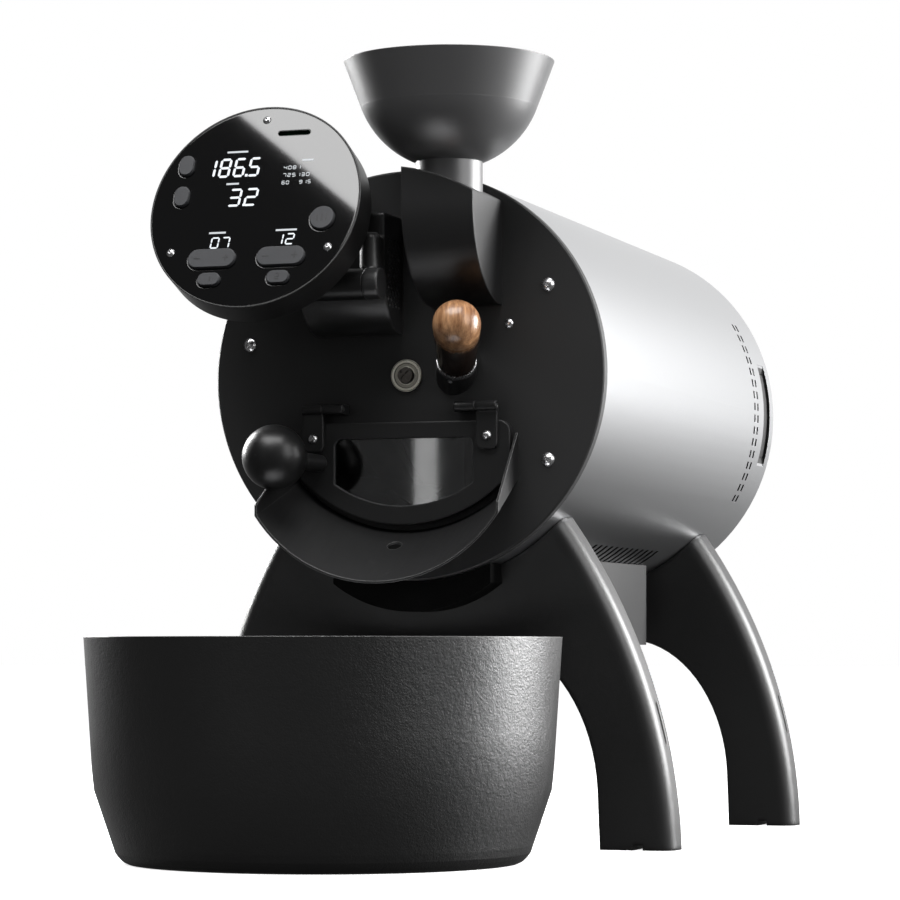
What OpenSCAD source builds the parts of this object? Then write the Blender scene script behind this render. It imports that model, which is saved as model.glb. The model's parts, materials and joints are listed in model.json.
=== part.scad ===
// Home coffee bean roaster: a lying drum in a silver barrel on two arched legs,
// a round tilting control panel, a bean hopper, a tryer, a hinged glass door and
// a separate cooling bowl in front.
// Millimetres, +Z up, the front faces -Y. The origin is on the table, in the middle
// of the whole object's outline. Most pieces are drawn in the barrel's own frame:
// its origin is the centre of the front plate's face, on the drum axis.

/* [Overall] */
// Height of the drum axis above the table
axis_h = 325; // [290:1:380]
// Length of the barrel, from the front plate's face to the rear edge
barrel_l = 492; // [440:1:590]
// Outer radius of the barrel and of the front plate
barrel_r = 140; // [118:1:168]
// Thickness of the barrel's sheet
barrel_t = 2; // [1.5:0.1:3]
// Thickness of the front plate
plate_t = 8; // [6:0.5:12]
// Play that pieces seated in each other have all round
fit_gap = 0.3; // [0.2:0.05:0.5]
// Play of a shaft in its bearing
run_gap = 0.05; // [0.02:0.01:0.1]

/* [Drum] */
// Air gap between the barrel and the insulation
sleeve_air = 20; // [12:1:26]
// Thickness of the insulation sleeve
sleeve_t = 12; // [6:1:16]
// Gap between the insulation and the turning drum
drum_clear = 6; // [3:0.5:10]
// Length of the drum
drum_l = 234; // [190:1:280]
// Gap between the drum's open end and the front plate
drum_front_gap = 3; // [1.5:0.5:5]
// Thickness of the drum's sheet
drum_t = 1.5; // [1:0.1:3]
// Number of mixing vanes in the drum
vane_n = 4; // [3:1:6]
// Height of a mixing vane
vane_h = 15; // [8:1:15]
// Radius of the drum shaft
shaft_r = 4; // [3:0.5:6]
// Outer radius of a drum bearing
bearing_r = 11; // [9:0.5:14]
// Width of a drum bearing
bearing_w = 7; // [6:0.5:9]
// How far the front bearing stands out of the plate
bearing_proud = 2; // [0.5:0.5:3]
// Outer radius of the drum's belt pulley
big_pulley_r = 30; // [24:1:36]
// Outer radius of the motor's belt pulley
small_pulley_r = 10; // [8:1:12]
// Distance from the drum axis to the motor axis
motor_offset = 74; // [70:1:84]

/* [Door] */
// How far the door overlaps the rim of its opening
door_lap = 10; // [6:0.5:14]
// How far the door's lower edge reaches past the drum
door_over = 2; // [0:0.5:4]
// Half width of the door
door_half_w = 76; // [60:1:82]
// Depth of the door's top edge below the drum axis
door_top = 32; // [28:0.5:40]
// Thickness of the door
door_t = 6.5; // [5:0.5:9]
// Gap between the closed door and the plate
door_gap = 1.5; // [0.5:0.1:3]
// Width of the door's frame beside the window
window_side = 26; // [21:1:32]
// Width of the door's frame, from the window to its lower edge
door_frame = 13; // [10:0.5:18]
// Thickness of the window glass
glass_t = 3; // [2:0.5:4]
// Depth of the hinge line below the drum axis
hinge_drop = 22.5; // [20:0.5:24]
// Outer radius of a hinge knuckle
knuckle_r = 3.5; // [3:0.25:5]
// Width of one hinge knuckle
knuckle_w = 15; // [10:0.5:18]
// Radius of a hinge pin
hinge_pin_r = 1.75; // [1.25:0.25:2.5]
// How far the right and left hinge's outer end lies inside the door's edge
hinge_inset = [8, 3.8];
// Radius of the ball knob
knob_r = 22; // [17:0.5:26]
// Radius of the knob's stem
stem_r = 6; // [4.5:0.25:7]
// Length of the knob's stem, from the door to the ball's centre
stem_l = 52; // [46:1:58]

/* [Chute] */
// Length of the discharge chute, from the plate to its lip
chute_l = 65; // [50:1:78]
// Thickness of the chute's sheet
chute_t = 1.6; // [1:0.1:3]
// How far the chute's lip lies below the end at the plate
chute_fall = 36; // [25:1:44]
// How much wider each side of the lip is than the end at the plate
chute_flare = 7; // [0:0.5:12]

/* [Bean inlet and hopper] */
// Middle of the bean inlet, along X
inlet_x = 43; // [36:0.5:50]
// Width of the bean inlet
inlet_w = 50; // [44:1:60]
// Depth of the bean inlet, and radius of its rounded front
inlet_d = 64; // [56:1:76]
// Depth of the inlet's curve centre below the barrel's top
inlet_curve_below = 30; // [26:1:40]
// Wall of the bean inlet
inlet_wall = 4; // [3:0.5:5]
// Radius of the hole that lets beans into the drum
port_r = 16; // [12:0.5:18]
// Distance from the plate to the hopper's axis
hopper_y = 38; // [34:0.5:44]
// Outer radius of the hopper's neck
neck_r = 22.5; // [18:0.5:22.5]
// Height of the hopper's rim above the barrel
rim_rise = 65.5; // [50:0.5:85]
// Radius of the hopper's rim
rim_r = 70.4; // [64:0.2:84]
// Radius of the hopper's round lower part
bowl_ball_r = 63; // [56:0.5:66]
// Wall of the hopper
hopper_t = 2; // [1.5:0.25:3]

/* [Tryer] */
// Where the tryer's axis meets the plate, along X and Z
tryer_at = [35.6, 1.3];
// Rise of the tryer's axis towards the user, in degrees
tryer_rise = 25; // [15:0.5:35]
// Turn of the tryer's axis to the side, in degrees
tryer_turn = 18.5; // [10:0.5:25]
// Outer radius of the tryer's collar
collar_r = 13.8; // [12.6:0.2:16]
// Distance from the plate to the collar's end, along its axis
collar_l = 14; // [12:0.5:20]
// Radius of the tryer's scoop
scoop_r = 9; // [7:0.25:10]
// Length of the scoop inside the plate
scoop_in = 80; // [60:1:82]
// Length of the wooden handle
handle_l = 64; // [52:1:78]
// Radius of the handle's round end
handle_r = 16.2; // [14.2:0.2:20]

/* [Control panel] */
// Radius of the control panel
panel_r = 75; // [66:0.5:90]
// Depth of the panel's straight rim
panel_rim_d = 22; // [18:0.5:26]
// Depth of the panel's tapered back
panel_back_d = 12; // [8:0.5:13]
// Lean of the panel to the back, in degrees
panel_lean = 20.5; // [15:0.5:25]
// Centre of the panel's face
panel_at = [-80.8, -78, 109.7];
// Wall of the panel's housing
panel_wall = 2.5; // [2:0.25:3.5]
// Thickness of the panel's glass
panel_glass_t = 3; // [2:0.25:3.5]
// How far the keys stand out of the glass
key_proud = 2.2; // [1.5:0.1:3]
// Gap around a key
key_gap = 0.5; // [0.4:0.05:0.7]
// Width of the panel's bracket
bracket_w = 62; // [50:1:70]
// Depth of the panel's bracket, and radius of its rounded lower front
bracket_d = 38; // [30:0.5:38]
// Radius of the panel's tilting tube
tilt_r = 10.5; // [8:0.25:11]
// Tilting axis of the panel, along Y and Z
tilt_at = [-51, 58];

/* [Legs and under-barrel housing] */
// Half width of the legs at the table
foot_x = 171; // [150:1:190]
// Half width of the arch at the table
arch_x = 119; // [100:1:126]
// Depth of a leg, from front to back
leg_d = 33; // [26:1:42]
// Lean of the legs, their tops to the front, in degrees
leg_lean = 8.5; // [0:0.5:10]
// Radius of the soft edges on a leg's outside
leg_edge_r = 11; // [6:0.5:12.5]
// Angle below the level at which a leg's outside meets the barrel
leg_meet = 44; // [38:0.5:50]
// Distance from the plate's face to the front leg's feet
front_leg_y = 62; // [54:1:72]
// Distance from the barrel's rear edge to the front of the rear leg's feet
rear_leg_back = 63; // [50:1:75]
// Height of the web between the barrel and the arch
arch_web = 39; // [30:1:48]
// Half width of the under-barrel housing
box_half_w = 70; // [60:1:78]
// How far the housing's floor lies below the barrel
box_below = 43; // [36:1:52]
// Distance from the barrel's rear edge to the housing's rear end
box_back = 119; // [105:1:160]
// How far the coil cover reaches below the barrel
keel_below = 21; // [17:1:26]

/* [Cooling bowl] */
// Radius of the bowl's rim
bowl_r = 155; // [130:1:160]
// Height that the rim stays below the coil cover
bowl_clear = 18; // [10:1:30]
// Radius of the bowl's base
bowl_base_r = 134; // [112:1:140]
// Height at which the wall's lower taper ends
bowl_knee_z = 55; // [40:1:60]
// How much the wall still widens above the knee
bowl_draft = 6; // [2:0.5:9]
// Wall of the bowl
bowl_t = 2.5; // [1.5:0.25:4]
// Centre of the bowl, along X, and its distance in front of the plate
bowl_at = [-12, -130.5];
// Height of the perforated tray in the bowl
tray_z = 74; // [66:1:84]

/* [Hidden] */
$fn = 96;
small_fn = 40;
eps = 0.01;
cut = 1; // how far a cutting tool passes a face

plate_y = (bowl_r - bowl_at.y - barrel_l) / 2;
rear_y = barrel_l;
shell_r = barrel_r - barrel_t;
spigot_r = shell_r - fit_gap;
sleeve_r = shell_r - sleeve_air;
sleeve_in_r = sleeve_r - sleeve_t;
drum_r = sleeve_in_r - drum_clear;
drum_y = plate_t + drum_front_gap;
drum_end = drum_y + drum_l;
drum_in_r = drum_r - drum_t - 0.15; // what is welded in lies this close to the shell
bulkhead_y = drum_end + 17;
bulkhead_t = 3;
shaft_hole_r = shaft_r + run_gap;

// door and chute
door_r = drum_r + door_over;
door_front = -(door_gap + door_t);
window_top = door_top + 11;
opening_r = door_r - door_lap;
door_corner_r = 8;
leaf_t = 3;
leaf_bottom = hinge_drop + 29;
hinge_y = door_front - leaf_t;
screw_z = -(hinge_drop + 20);
chute_r = door_r + 3.5 + chute_t;
chute_w = door_half_w + 1.6 + chute_t;
lip_w = chute_w + chute_flare;
lip_bottom = chute_r + chute_fall;
lip_rise = 46; // the lip's arc is this high from its lowest point to its sides
lip_r = (lip_w * lip_w + lip_rise * lip_rise) / (2 * lip_rise);
wing_slope = 37.2; // slope of the wings' top edges
wing_top = door_top + 8.5;
stem_lean = 14.2; // the stem leans out to the left of the door
stem_rise = 1.8;
window_half_w = door_half_w - window_side;
hinge_x = [door_half_w - hinge_inset[0], hinge_inset[1] - door_half_w];
stem_x = 14.5 - door_half_w;
stem_z = -leaf_bottom - stem_r - 1.5;

// bean inlet
inlet_top_r = barrel_r - 5;
inlet_curve_z = barrel_r - inlet_curve_below;
collar_seat_z = inlet_curve_z - 2;
port_z = sqrt(pow(drum_r - port_r - 4, 2) - inlet_x * inlet_x);

// hopper, a ball below and a cone tangent to it above
rim_z = barrel_r + rim_rise;
neck_top_z = rim_z - 67;
ball_z = rim_z - 8;
rim_angle = atan2(rim_z - ball_z, rim_r);
rim_dist = norm([rim_r, rim_z - ball_z]);
touch_angle = rim_angle - acos(bowl_ball_r / rim_dist);
seam = 0.05; // step where a straight run leaves an arc

// tryer, along its own axis
ring_gap = 0.3;
ring_w = 2.2;
handle_start = collar_l + ring_w + 2 * ring_gap;

// panel
panel_d = panel_rim_d + panel_back_d;
board_z = 7.6;
board_t = 1.6;
flange_z = 4.2;
flange_t = 1.6;
flange_lip = 1.3;
screw_ring_r = panel_r - 10;
bracket_x = -3;
bracket_z = 28;
bracket_top = 107;
bracket_foot_top = 69;
ear_w = 8;
arm_r = 7.25; // the upright arm's rounded front
arm_front = -51.5;
bracket_arm_w = 2 * arm_r + 2 * fit_gap;
arm_h = 32;

// keys: centre in the panel's plane, width and height
upper_key_at = [-53.5, 32.4];
lower_key_at = [-53.8, 9.1];
heat_key_at = [-25.2, -38.4];
fan_key_at = [24.1, -38.4];
left_key_at = [-25.2, -53.9];
right_key_at = [24.1, -53.9];
round_key_at = [50, -11.4];
side_key = [10.6, 15];
rocker_key = [34, 14];
low_key = [16, 9.6];
round_key_size = [17, 17];

// legs: each outside is an arc, upright at the table, through the point on the barrel
meet = [barrel_r * cos(leg_meet), (axis_h - barrel_r * sin(leg_meet)) / cos(leg_lean)];
leg_arc_r = (pow(foot_x - meet.x, 2) + meet.y * meet.y) / (2 * (foot_x - meet.x));
rear_leg_y = rear_y - rear_leg_back;
crown_h = (axis_h - barrel_r - arch_web) / cos(leg_lean);
arch_flat = arch_x - 76;
foot_straight = 42;
leg_seat_r = barrel_r + fit_gap;
arch_steps = 18;
box_wall = 2.5;
box_drop = barrel_r + box_below;
keel_drop = barrel_r + keel_below;

// rear end
cover_y = rear_y - 8;
cover_t = 3;
fan_r = 50;
shroud_y = cover_y - 34;
belt_y = bulkhead_y + bulkhead_t + 11;
pulley_w = 10;
belt_t = 1.6;

bowl_h = axis_h - keel_drop - bowl_clear;

// ---- helpers ----

// Moves a child from the barrel's frame to its place
module on_barrel() translate([0, plate_y, axis_h]) children();

// A flat shape in X and Z, thick from y0 to y1
module slab(y0, y1) translate([0, y1, 0]) rotate([90, 0, 0]) linear_extrude(y1 - y0) children();

// A flat shape in Y and Z, thick from x0 to x1
module side_slab(x0, x1) translate([x0, 0, 0]) rotate([90, 0, 90]) linear_extrude(x1 - x0) children();

// A profile in radius and Y, turned round the drum axis
module turned() rotate([-90, 0, 0]) rotate_extrude() children();

// A round bar along Y
module bar_y(r, y0, y1) translate([0, y0, 0]) rotate([-90, 0, 0]) cylinder(r = r, h = y1 - y0);

// A round bar along X
module bar_x(r, x0, x1) translate([x0, 0, 0]) rotate([0, 90, 0]) cylinder(r = r, h = x1 - x0);

// Copies a child on both sides
module both_sides() { children(); mirror([1, 0, 0]) children(); }

// A screw along +Y: a domed head with a hex socket, its underside at y = 0
module button_screw(head_r, head_h, shank_r, shank_l) {
    ball_r = (head_r * head_r + head_h * head_h) / (2 * head_h);
    difference() {
        rotate([-90, 0, 0]) rotate_extrude($fn = small_fn) {
            intersection() {
                translate([0, ball_r - head_h]) circle(ball_r);
                translate([0, -head_h]) square([head_r, head_h]);
            }
            square([shank_r, shank_l]);
        }
        translate([0, -head_h - cut, 0]) rotate([-90, 0, 0])
            cylinder(r = head_r * 0.36, h = head_h * 0.6 + cut, $fn = 6);
    }
}

// A pill shape of the given width and height
module pill(size) {
    r = min(size) / 2;
    run = size - [2 * r, 2 * r];
    for (s = [-0.5, 0.5]) translate(s * run) circle(r, $fn = small_fn);
    if (max(run) > 0) square([run.x > 0 ? run.x : size.x, run.y > 0 ? run.y : size.y], center = true);
}

// A shape with a flat, round-cornered top and a round bottom
module d_shape(half_w, top, r, corner) {
    intersection() {
        circle(r);
        union() {
            translate([-half_w, -r]) square([2 * half_w, r - top - corner]);
            translate([corner - half_w, -r]) square([2 * (half_w - corner), r - top]);
            for (s = [-1, 1])
                translate([s * (half_w - corner), -top - corner]) circle(corner, $fn = small_fn);
        }
    }
}

// ---- front plate ----

// Polar places of the plate's large screws: angle and radius
plate_screw_places = [[30.4, barrel_r - 23.5], [-30.4, barrel_r - 23.5], [168.2, barrel_r - 22]];
small_screw_at = [72.9, 33.6];
plate_screw_r = 4.75;
small_screw_r = 3.2;

module at_plate_screws() {
    for (p = plate_screw_places) rotate([0, -p[0], 0]) translate([p[1], 0, 0]) children();
}

module front_plate() color("#1c1c1e") on_barrel() difference() {
    union() {
        turned() polygon([[0, 0], [barrel_r - 1, 0], [barrel_r, 1], [barrel_r, plate_t], [0, plate_t]]);
        turned() translate([spigot_r - 3, plate_t - eps]) square([3, 8 + eps]);
    }
    slab(-cut, plate_t + cut) d_shape(door_half_w - door_lap, door_top + door_lap, opening_r, 4);
    bar_y(bearing_r + eps, -cut, bearing_w - bearing_proud);
    bar_y(bearing_r - 2, 0, plate_t + cut);
    translate([inlet_x, 0, port_z]) bar_y(port_r, -cut, plate_t + cut);
    on_tryer() translate([0, 0, -30]) cylinder(r = scoop_r + 1.2, h = 60);
    at_plate_screws() bar_y(2.6, -cut, plate_t + cut, $fn = small_fn);
    translate([small_screw_at.x, 0, small_screw_at.y]) bar_y(1.6, -cut, plate_t + cut, $fn = small_fn);
}

module plate_screws() color("#b8b8bc") {
    on_barrel() {
        at_plate_screws() button_screw(plate_screw_r, 2.7, 2.5, plate_t);
        translate([small_screw_at.x, 0, small_screw_at.y]) button_screw(small_screw_r, 1.6, 1.5, plate_t + 1);
        grub_screw();
    }
}

// A drum bearing: races, and a shield a little below their faces
module bearing(y0) color("#c9c4b4") on_barrel() translate([0, y0, 0]) turned() {
    translate([bearing_r - 2.4, 0]) square([2.4, bearing_w]);
    translate([shaft_hole_r, 0]) square([1.9, bearing_w]);
    translate([shaft_hole_r + 1, 0.5]) square([bearing_r - shaft_hole_r - 2, bearing_w - 1]);
}
module front_bearing() bearing(-bearing_proud);

// ---- bean inlet and hopper ----

module at_hopper() translate([inlet_x, -hopper_y, 0]) children();

module bean_inlet() color("#202022") on_barrel() difference() {
    intersection() {
        translate([inlet_x, 0, 0]) side_slab(-inlet_w / 2, inlet_w / 2) union() {
            inlet_side(0);
            translate([-inlet_d, inlet_curve_z]) square([inlet_d, barrel_r - inlet_curve_z]);
        }
        bar_y(inlet_top_r, -inlet_d - cut, cut);
    }
    // the chamber that leads to the hole in the plate, below the hopper's ledge
    translate([inlet_x, 0, 0]) side_slab(inlet_wall - inlet_w / 2, inlet_w / 2 - inlet_wall) intersection() {
        inlet_side(inlet_wall);
        translate([-inlet_d, 0]) square([inlet_d + 2 * cut, collar_seat_z - inlet_wall]);
    }
    at_hopper() translate([0, 0, collar_seat_z]) cylinder(r = neck_r + fit_gap, h = barrel_r);
    at_hopper() translate([0, 0, collar_seat_z - inlet_wall - cut])
        cylinder(r = neck_r - hopper_t - 1, h = barrel_r);
}
// The inlet's curved lower outline in Y and Z, drawn in by a wall
module inlet_side(inset) intersection() {
    translate([0, inlet_curve_z]) circle(inlet_d - inset);
    translate([-inlet_d - cut, inlet_curve_z - inlet_d - cut])
        square([inlet_d + cut + (inset > 0 ? cut : 0), inlet_d + cut]);
}

// The hopper's outline, drawn in by a wall
module hopper_outline(wall, over) {
    ball = bowl_ball_r - wall;
    touch = ball * [cos(touch_angle), sin(touch_angle)];
    rim = [rim_r, rim_z - ball_z] - wall * [cos(touch_angle), sin(touch_angle)];
    up = rim + (rim - touch) * over / (rim.y - touch.y);
    translate([0, ball_z]) {
        intersection() {
            circle(ball);
            translate([0, -ball - cut]) square([ball + cut, ball + cut + touch.y]);
        }
        polygon([[0, touch.y], touch - [seam, 0], up, [0, up.y]]);
    }
}

module hopper() color("#2b2b2e") on_barrel() at_hopper() rotate_extrude() difference() {
    union() {
        difference() {
            hopper_outline(0, 0);
            square([neck_r * 2, neck_top_z - 2]);
        }
        translate([0, collar_seat_z + fit_gap]) square([neck_r, neck_top_z - collar_seat_z + 4]);
    }
    hopper_outline(hopper_t, 5);
    square([neck_r - hopper_t, neck_top_z + 8]);
}

// ---- tryer ----

// Turns +Z into the tryer's axis, from where it meets the plate's face
module on_tryer() translate([tryer_at.x, 0, tryer_at.y])
    rotate([0, 0, tryer_turn]) rotate([90 - tryer_rise, 0, 0]) children();

module tryer_collar() color("#19191a") on_barrel() difference() {
    intersection() {
        on_tryer() translate([0, 0, -2 * collar_r]) cylinder(r = collar_r, h = collar_l + 2 * collar_r);
        translate([-barrel_r, -2 * barrel_r, -barrel_r]) cube(2 * barrel_r);
    }
    on_tryer() translate([0, 0, -4 * collar_r]) cylinder(r = scoop_r + run_gap, h = collar_l + 6 * collar_r);
    on_tryer() grub_place() cylinder(r = 1.6, h = collar_r, $fn = small_fn);
}

// The collar's grub screw points at the scoop from the front
module grub_place() translate([0, 0, collar_l - 4]) rotate([0, 90, -90 - tryer_turn]) children();
module grub_screw() on_tryer() grub_place() translate([0, 0, scoop_r + 0.4]) difference() {
    cylinder(r = 1.5, h = collar_r - scoop_r - 0.2, $fn = small_fn);
    translate([0, 0, 2]) cylinder(r = 0.8, h = collar_r, $fn = 6);
}

module tryer_ring() color("#d8d8d8") on_barrel() on_tryer() translate([0, 0, collar_l + ring_gap])
    difference() {
        cylinder(r = collar_r - 0.3, h = ring_w);
        translate([0, 0, -cut]) cylinder(r = scoop_r + run_gap, h = ring_w + 2 * cut);
    }

module tryer_scoop() color("#9a9a9c") on_barrel() on_tryer() difference() {
    translate([0, 0, -scoop_in]) cylinder(r = scoop_r, h = scoop_in + handle_start);
    translate([0, 0, 2 - scoop_in]) cylinder(r = scoop_r - 1, h = scoop_in - 2 - 14);
    translate([-scoop_r - cut, 0, 4 - scoop_in])
        cube([2 * (scoop_r + cut), 2 * scoop_r, scoop_in - 4 - 18]);
}

// The handle swells from the ring to a round end
module tryer_handle() color("#7a4b2a") on_barrel() on_tryer() translate([0, 0, handle_start])
    rotate_extrude() {
        foot_r = collar_r - 0.6;
        ball_at = handle_l - handle_r;
        lean = asin((handle_r - foot_r) / ball_at);
        polygon([[0, 0], [foot_r - 1, 0], [foot_r, 1],
                 [handle_r * cos(lean), ball_at - handle_r * sin(lean)], [0, ball_at]]);
        intersection() {
            translate([0, ball_at]) circle(handle_r);
            translate([0, ball_at - handle_r * sin(lean) - eps]) square(2 * handle_r);
        }
    }

// ---- door ----

// The right hinge's moving knuckle is outside and the left one's too
module at_hinge(side) {
    x = side > 0 ? hinge_x[0] : hinge_x[1];
    translate([x, hinge_y, -hinge_drop]) mirror([side > 0 ? 1 : 0, 0, 0]) children();
}
hinge_hole_r = hinge_pin_r + run_gap;

module hinge_brackets() color("#161617") on_barrel() for (side = [-1, 1]) at_hinge(side) difference() {
    union() {
        bar_x(knuckle_r, knuckle_w + fit_gap, 2 * knuckle_w, $fn = small_fn);
        translate([knuckle_w + fit_gap, 0, -knuckle_r]) cube([knuckle_w - fit_gap, -hinge_y, 2 * knuckle_r]);
    }
    bar_x(hinge_hole_r, 0, 2 * knuckle_w + cut, $fn = small_fn);
}

module hinge_pins() color("#8f8f92") on_barrel() for (side = [-1, 1]) at_hinge(side) difference() {
    bar_x(hinge_pin_r, 0, 2 * knuckle_w, $fn = small_fn);
    bar_x(hinge_pin_r * 0.55, -cut, 1.5, $fn = 6);
}

module door_leaves() color("#1b1b1c") on_barrel() for (side = [-1, 1]) at_hinge(side) difference() {
    union() {
        bar_x(knuckle_r, 0, knuckle_w, $fn = small_fn);
        slab(0, leaf_t) {
            translate([0, hinge_drop - leaf_bottom + 4]) square([knuckle_w, leaf_bottom - hinge_drop - 4]);
            translate([4, hinge_drop - leaf_bottom]) square([knuckle_w - 8, 5]);
            for (x = [4, knuckle_w - 4])
                translate([x, hinge_drop - leaf_bottom + 4]) circle(4, $fn = small_fn);
        }
    }
    bar_x(hinge_hole_r, -cut, knuckle_w + cut, $fn = small_fn);
    translate([knuckle_w / 2, 0, hinge_drop + screw_z]) bar_y(2.1, -cut, leaf_t + cut, $fn = small_fn);
}

module door_screws() color("#c4c4c8") on_barrel() for (side = [-1, 1]) at_hinge(side)
    translate([knuckle_w / 2, 0, hinge_drop + screw_z]) button_screw(3.4, 2.2, 2, leaf_t + door_t - 1);

module door_panel() color("#1a1a1b") on_barrel() difference() {
    slab(door_front, -door_gap) d_shape(door_half_w, door_top, door_r, door_corner_r);
    slab(door_front - cut, 0) d_shape(window_half_w, window_top, door_r - door_frame, 5);
    slab(-door_gap - glass_t - fit_gap, 0) glass_shape(0);
    for (side = [-1, 1]) at_hinge(side) translate([knuckle_w / 2, 0, hinge_drop + screw_z])
        bar_y(2.1, leaf_t - cut, leaf_t + door_t - 0.5, $fn = small_fn);
    at_stem() translate([0, 0, -3 - fit_gap]) cylinder(r = stem_pin_r, h = 6);
}

// The glass's outline, 4 mm larger than the window
module glass_shape(inset) {
    over = 4 - inset;
    d_shape(window_half_w + over, window_top - over, door_r - door_frame + over, 3 + over);
}

module door_glass() color("#40454a") on_barrel() slab(-door_gap - glass_t - fit_gap, -door_gap - fit_gap)
    glass_shape(fit_gap);

// Turns +Z into the stem's axis, from the door's face
module at_stem() translate([stem_x, door_front, stem_z]) rotate([90 - stem_rise, 0, -stem_lean]) children();

stem_pin_r = 4;
module knob_stem() color("#161617") on_barrel() {
    difference() {
        at_stem() translate([0, 0, -stem_r]) cylinder(r = stem_r, h = stem_l - knob_r + 3 + stem_r);
        translate([-barrel_r, door_front, -barrel_r]) cube(2 * barrel_r);
    }
    at_stem() translate([0, 0, -3]) cylinder(r = stem_pin_r - fit_gap, h = 6);
}

module door_knob() color("#232325") on_barrel() at_stem() difference() {
    translate([0, 0, stem_l]) sphere(knob_r);
    cylinder(r = stem_r + fit_gap, h = stem_l - knob_r + 3 + fit_gap);
}

// ---- chute ----

// The chute's section at a place: half width, bottom radius and the arc's centre
module chute_disc(y, half_w, r, z) translate([0, y, 0]) slab(-eps, 0) intersection() {
    translate([0, z]) circle(r);
    translate([-half_w, -2 * r]) square([2 * half_w, 2 * r + z]);
}
module chute_core(inset, over) {
    grow = over / chute_l;
    hull() {
        chute_disc(over, chute_w - inset - chute_flare * grow, chute_r - inset, chute_fall * grow);
        chute_disc(-chute_l - over, lip_w - inset + chute_flare * grow, lip_r - inset,
                   lip_r - lip_bottom - chute_fall * grow);
    }
}

module discharge_chute() color("#1d1d1f") on_barrel() difference() {
    chute_core(0, 0);
    chute_core(chute_t, 4);
    translate([0, 0, -wing_top]) rotate([wing_slope, 0, 0])
        translate([-barrel_r, -2 * barrel_r, 0]) cube([2 * barrel_r, 3 * barrel_r, 2 * barrel_r]);
    translate([-2, -20, -barrel_r]) cylinder(r = 5, h = barrel_r, $fn = small_fn);
}

// ---- control panel ----

// The panel's own frame: +Z out of its face, +Y up along it
module on_panel() translate(panel_at) rotate([90 - panel_lean, 0, 0]) children();
module at_panel_screws() for (a = [90, 210, 330]) rotate(a) translate([screw_ring_r, 0, 0]) children();

// The bracket's outline in Y and Z: upright above and a quarter circle below
module bracket_side(inset, top) {
    intersection() {
        translate([0, bracket_z + bracket_d]) circle(bracket_d - inset);
        translate([-bracket_d - cut, bracket_z - cut]) square([bracket_d + cut, bracket_d + cut]);
    }
    translate([-(bracket_d - inset), bracket_z + bracket_d])
        square([bracket_d - inset, top - bracket_z - bracket_d - inset]);
}

// A wide foot and a narrow upright part whose right side is the perforated cheek
module bracket_block(inset) {
    side_slab(bracket_x - bracket_w + inset, bracket_x - inset) bracket_side(inset, bracket_foot_top);
    side_slab(bracket_x - bracket_arm_w + inset, bracket_x - inset) bracket_side(inset, bracket_top);
}

module panel_bracket() color("#1a1a1b") on_barrel() difference() {
    union() {
        bracket_block(0);
        // the ear that carries the tilting axis, and the round-fronted arm above it
        translate([bracket_x - ear_w, tilt_at.x, tilt_at.y]) bar_x(tilt_r, 0, ear_w + 2.6);
        translate([bracket_x - arm_r - fit_gap, 0, tilt_at.y]) {
            translate([0, arm_front + arm_r + 4]) linear_extrude(arm_h) pill([2 * arm_r, 2 * arm_r + 8]);
            translate([0, arm_front + arm_r, arm_h])
                cylinder(r1 = arm_r, r2 = arm_r - 2.5, h = 3, $fn = small_fn);
        }
    }
    bracket_block(2.5);
    // the pin's hole, and room for the tilting tube beside the ear
    translate([0, tilt_at.x, tilt_at.y]) {
        bar_x(4 + run_gap, bracket_x - ear_w - 20, bracket_x - 1);
        bar_x(tilt_r + 0.6, bracket_x - ear_w - 30, bracket_x - ear_w);
    }
    // perforated cheek
    for (row = [0:11], col = [0:3])
        translate([bracket_x - 4, -9 - 6 * col - 3 * (row % 2), bracket_z + 18 + 4 * row])
            bar_x(1.3, 0, 6, $fn = small_fn);
}

module tilt_tube() color("#1f1f21") on_barrel() difference() {
    translate([0, tilt_at.x, tilt_at.y]) {
        bar_x(tilt_r, bracket_x - 52, bracket_x - ear_w - fit_gap);
        bar_x(4, bracket_x - ear_w - 2, bracket_x - 1.5);
    }
    on_panel() panel_solid(fit_gap);
}

// The housing's outside, grown by a gap
module panel_solid(gap) rotate([0, 180, 0]) {
    cylinder(r = panel_r + gap, h = panel_rim_d + gap);
    translate([0, 0, panel_rim_d + gap])
        cylinder(r1 = panel_r + gap, r2 = panel_r + gap - panel_back_d, h = panel_back_d);
}

module panel_housing() color("#232326") on_barrel() on_panel() difference() {
    panel_solid(0);
    // the glass sits in a shallow rebate
    translate([0, 0, -panel_glass_t]) cylinder(r = panel_r - 1.1, h = panel_glass_t + cut);
    difference() {
        rotate([0, 180, 0]) {
            cylinder(r = panel_r - panel_wall, h = panel_rim_d);
            translate([0, 0, panel_rim_d]) cylinder(r1 = panel_r - panel_wall,
                r2 = panel_r - panel_wall - panel_back_d + panel_wall, h = panel_back_d - panel_wall);
        }
        at_panel_screws() translate([0, 0, -panel_d])
            cylinder(r = 4, h = panel_d - board_z - board_t, $fn = small_fn);
    }
    at_panel_screws() translate([0, 0, -18]) cylinder(r = 1.6, h = 18, $fn = small_fn);
}

module key_hole(at, size) translate(at) pill(size + 2 * [key_gap, key_gap]);

module panel_glass() color("#060607") on_barrel() on_panel() translate([0, 0, -panel_glass_t + eps])
    linear_extrude(panel_glass_t - eps) difference() {
        circle(panel_r - 1.1 - fit_gap / 2);
        key_hole(upper_key_at, side_key);
        key_hole(lower_key_at, side_key);
        key_hole(heat_key_at, rocker_key);
        key_hole(fan_key_at, rocker_key);
        key_hole(left_key_at, low_key);
        key_hole(right_key_at, low_key);
        key_hole(round_key_at, round_key_size);
        translate([21, 54.2]) pill([23, 3.3]);
        at_panel_screws() circle(1.7, $fn = small_fn);
    }

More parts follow.
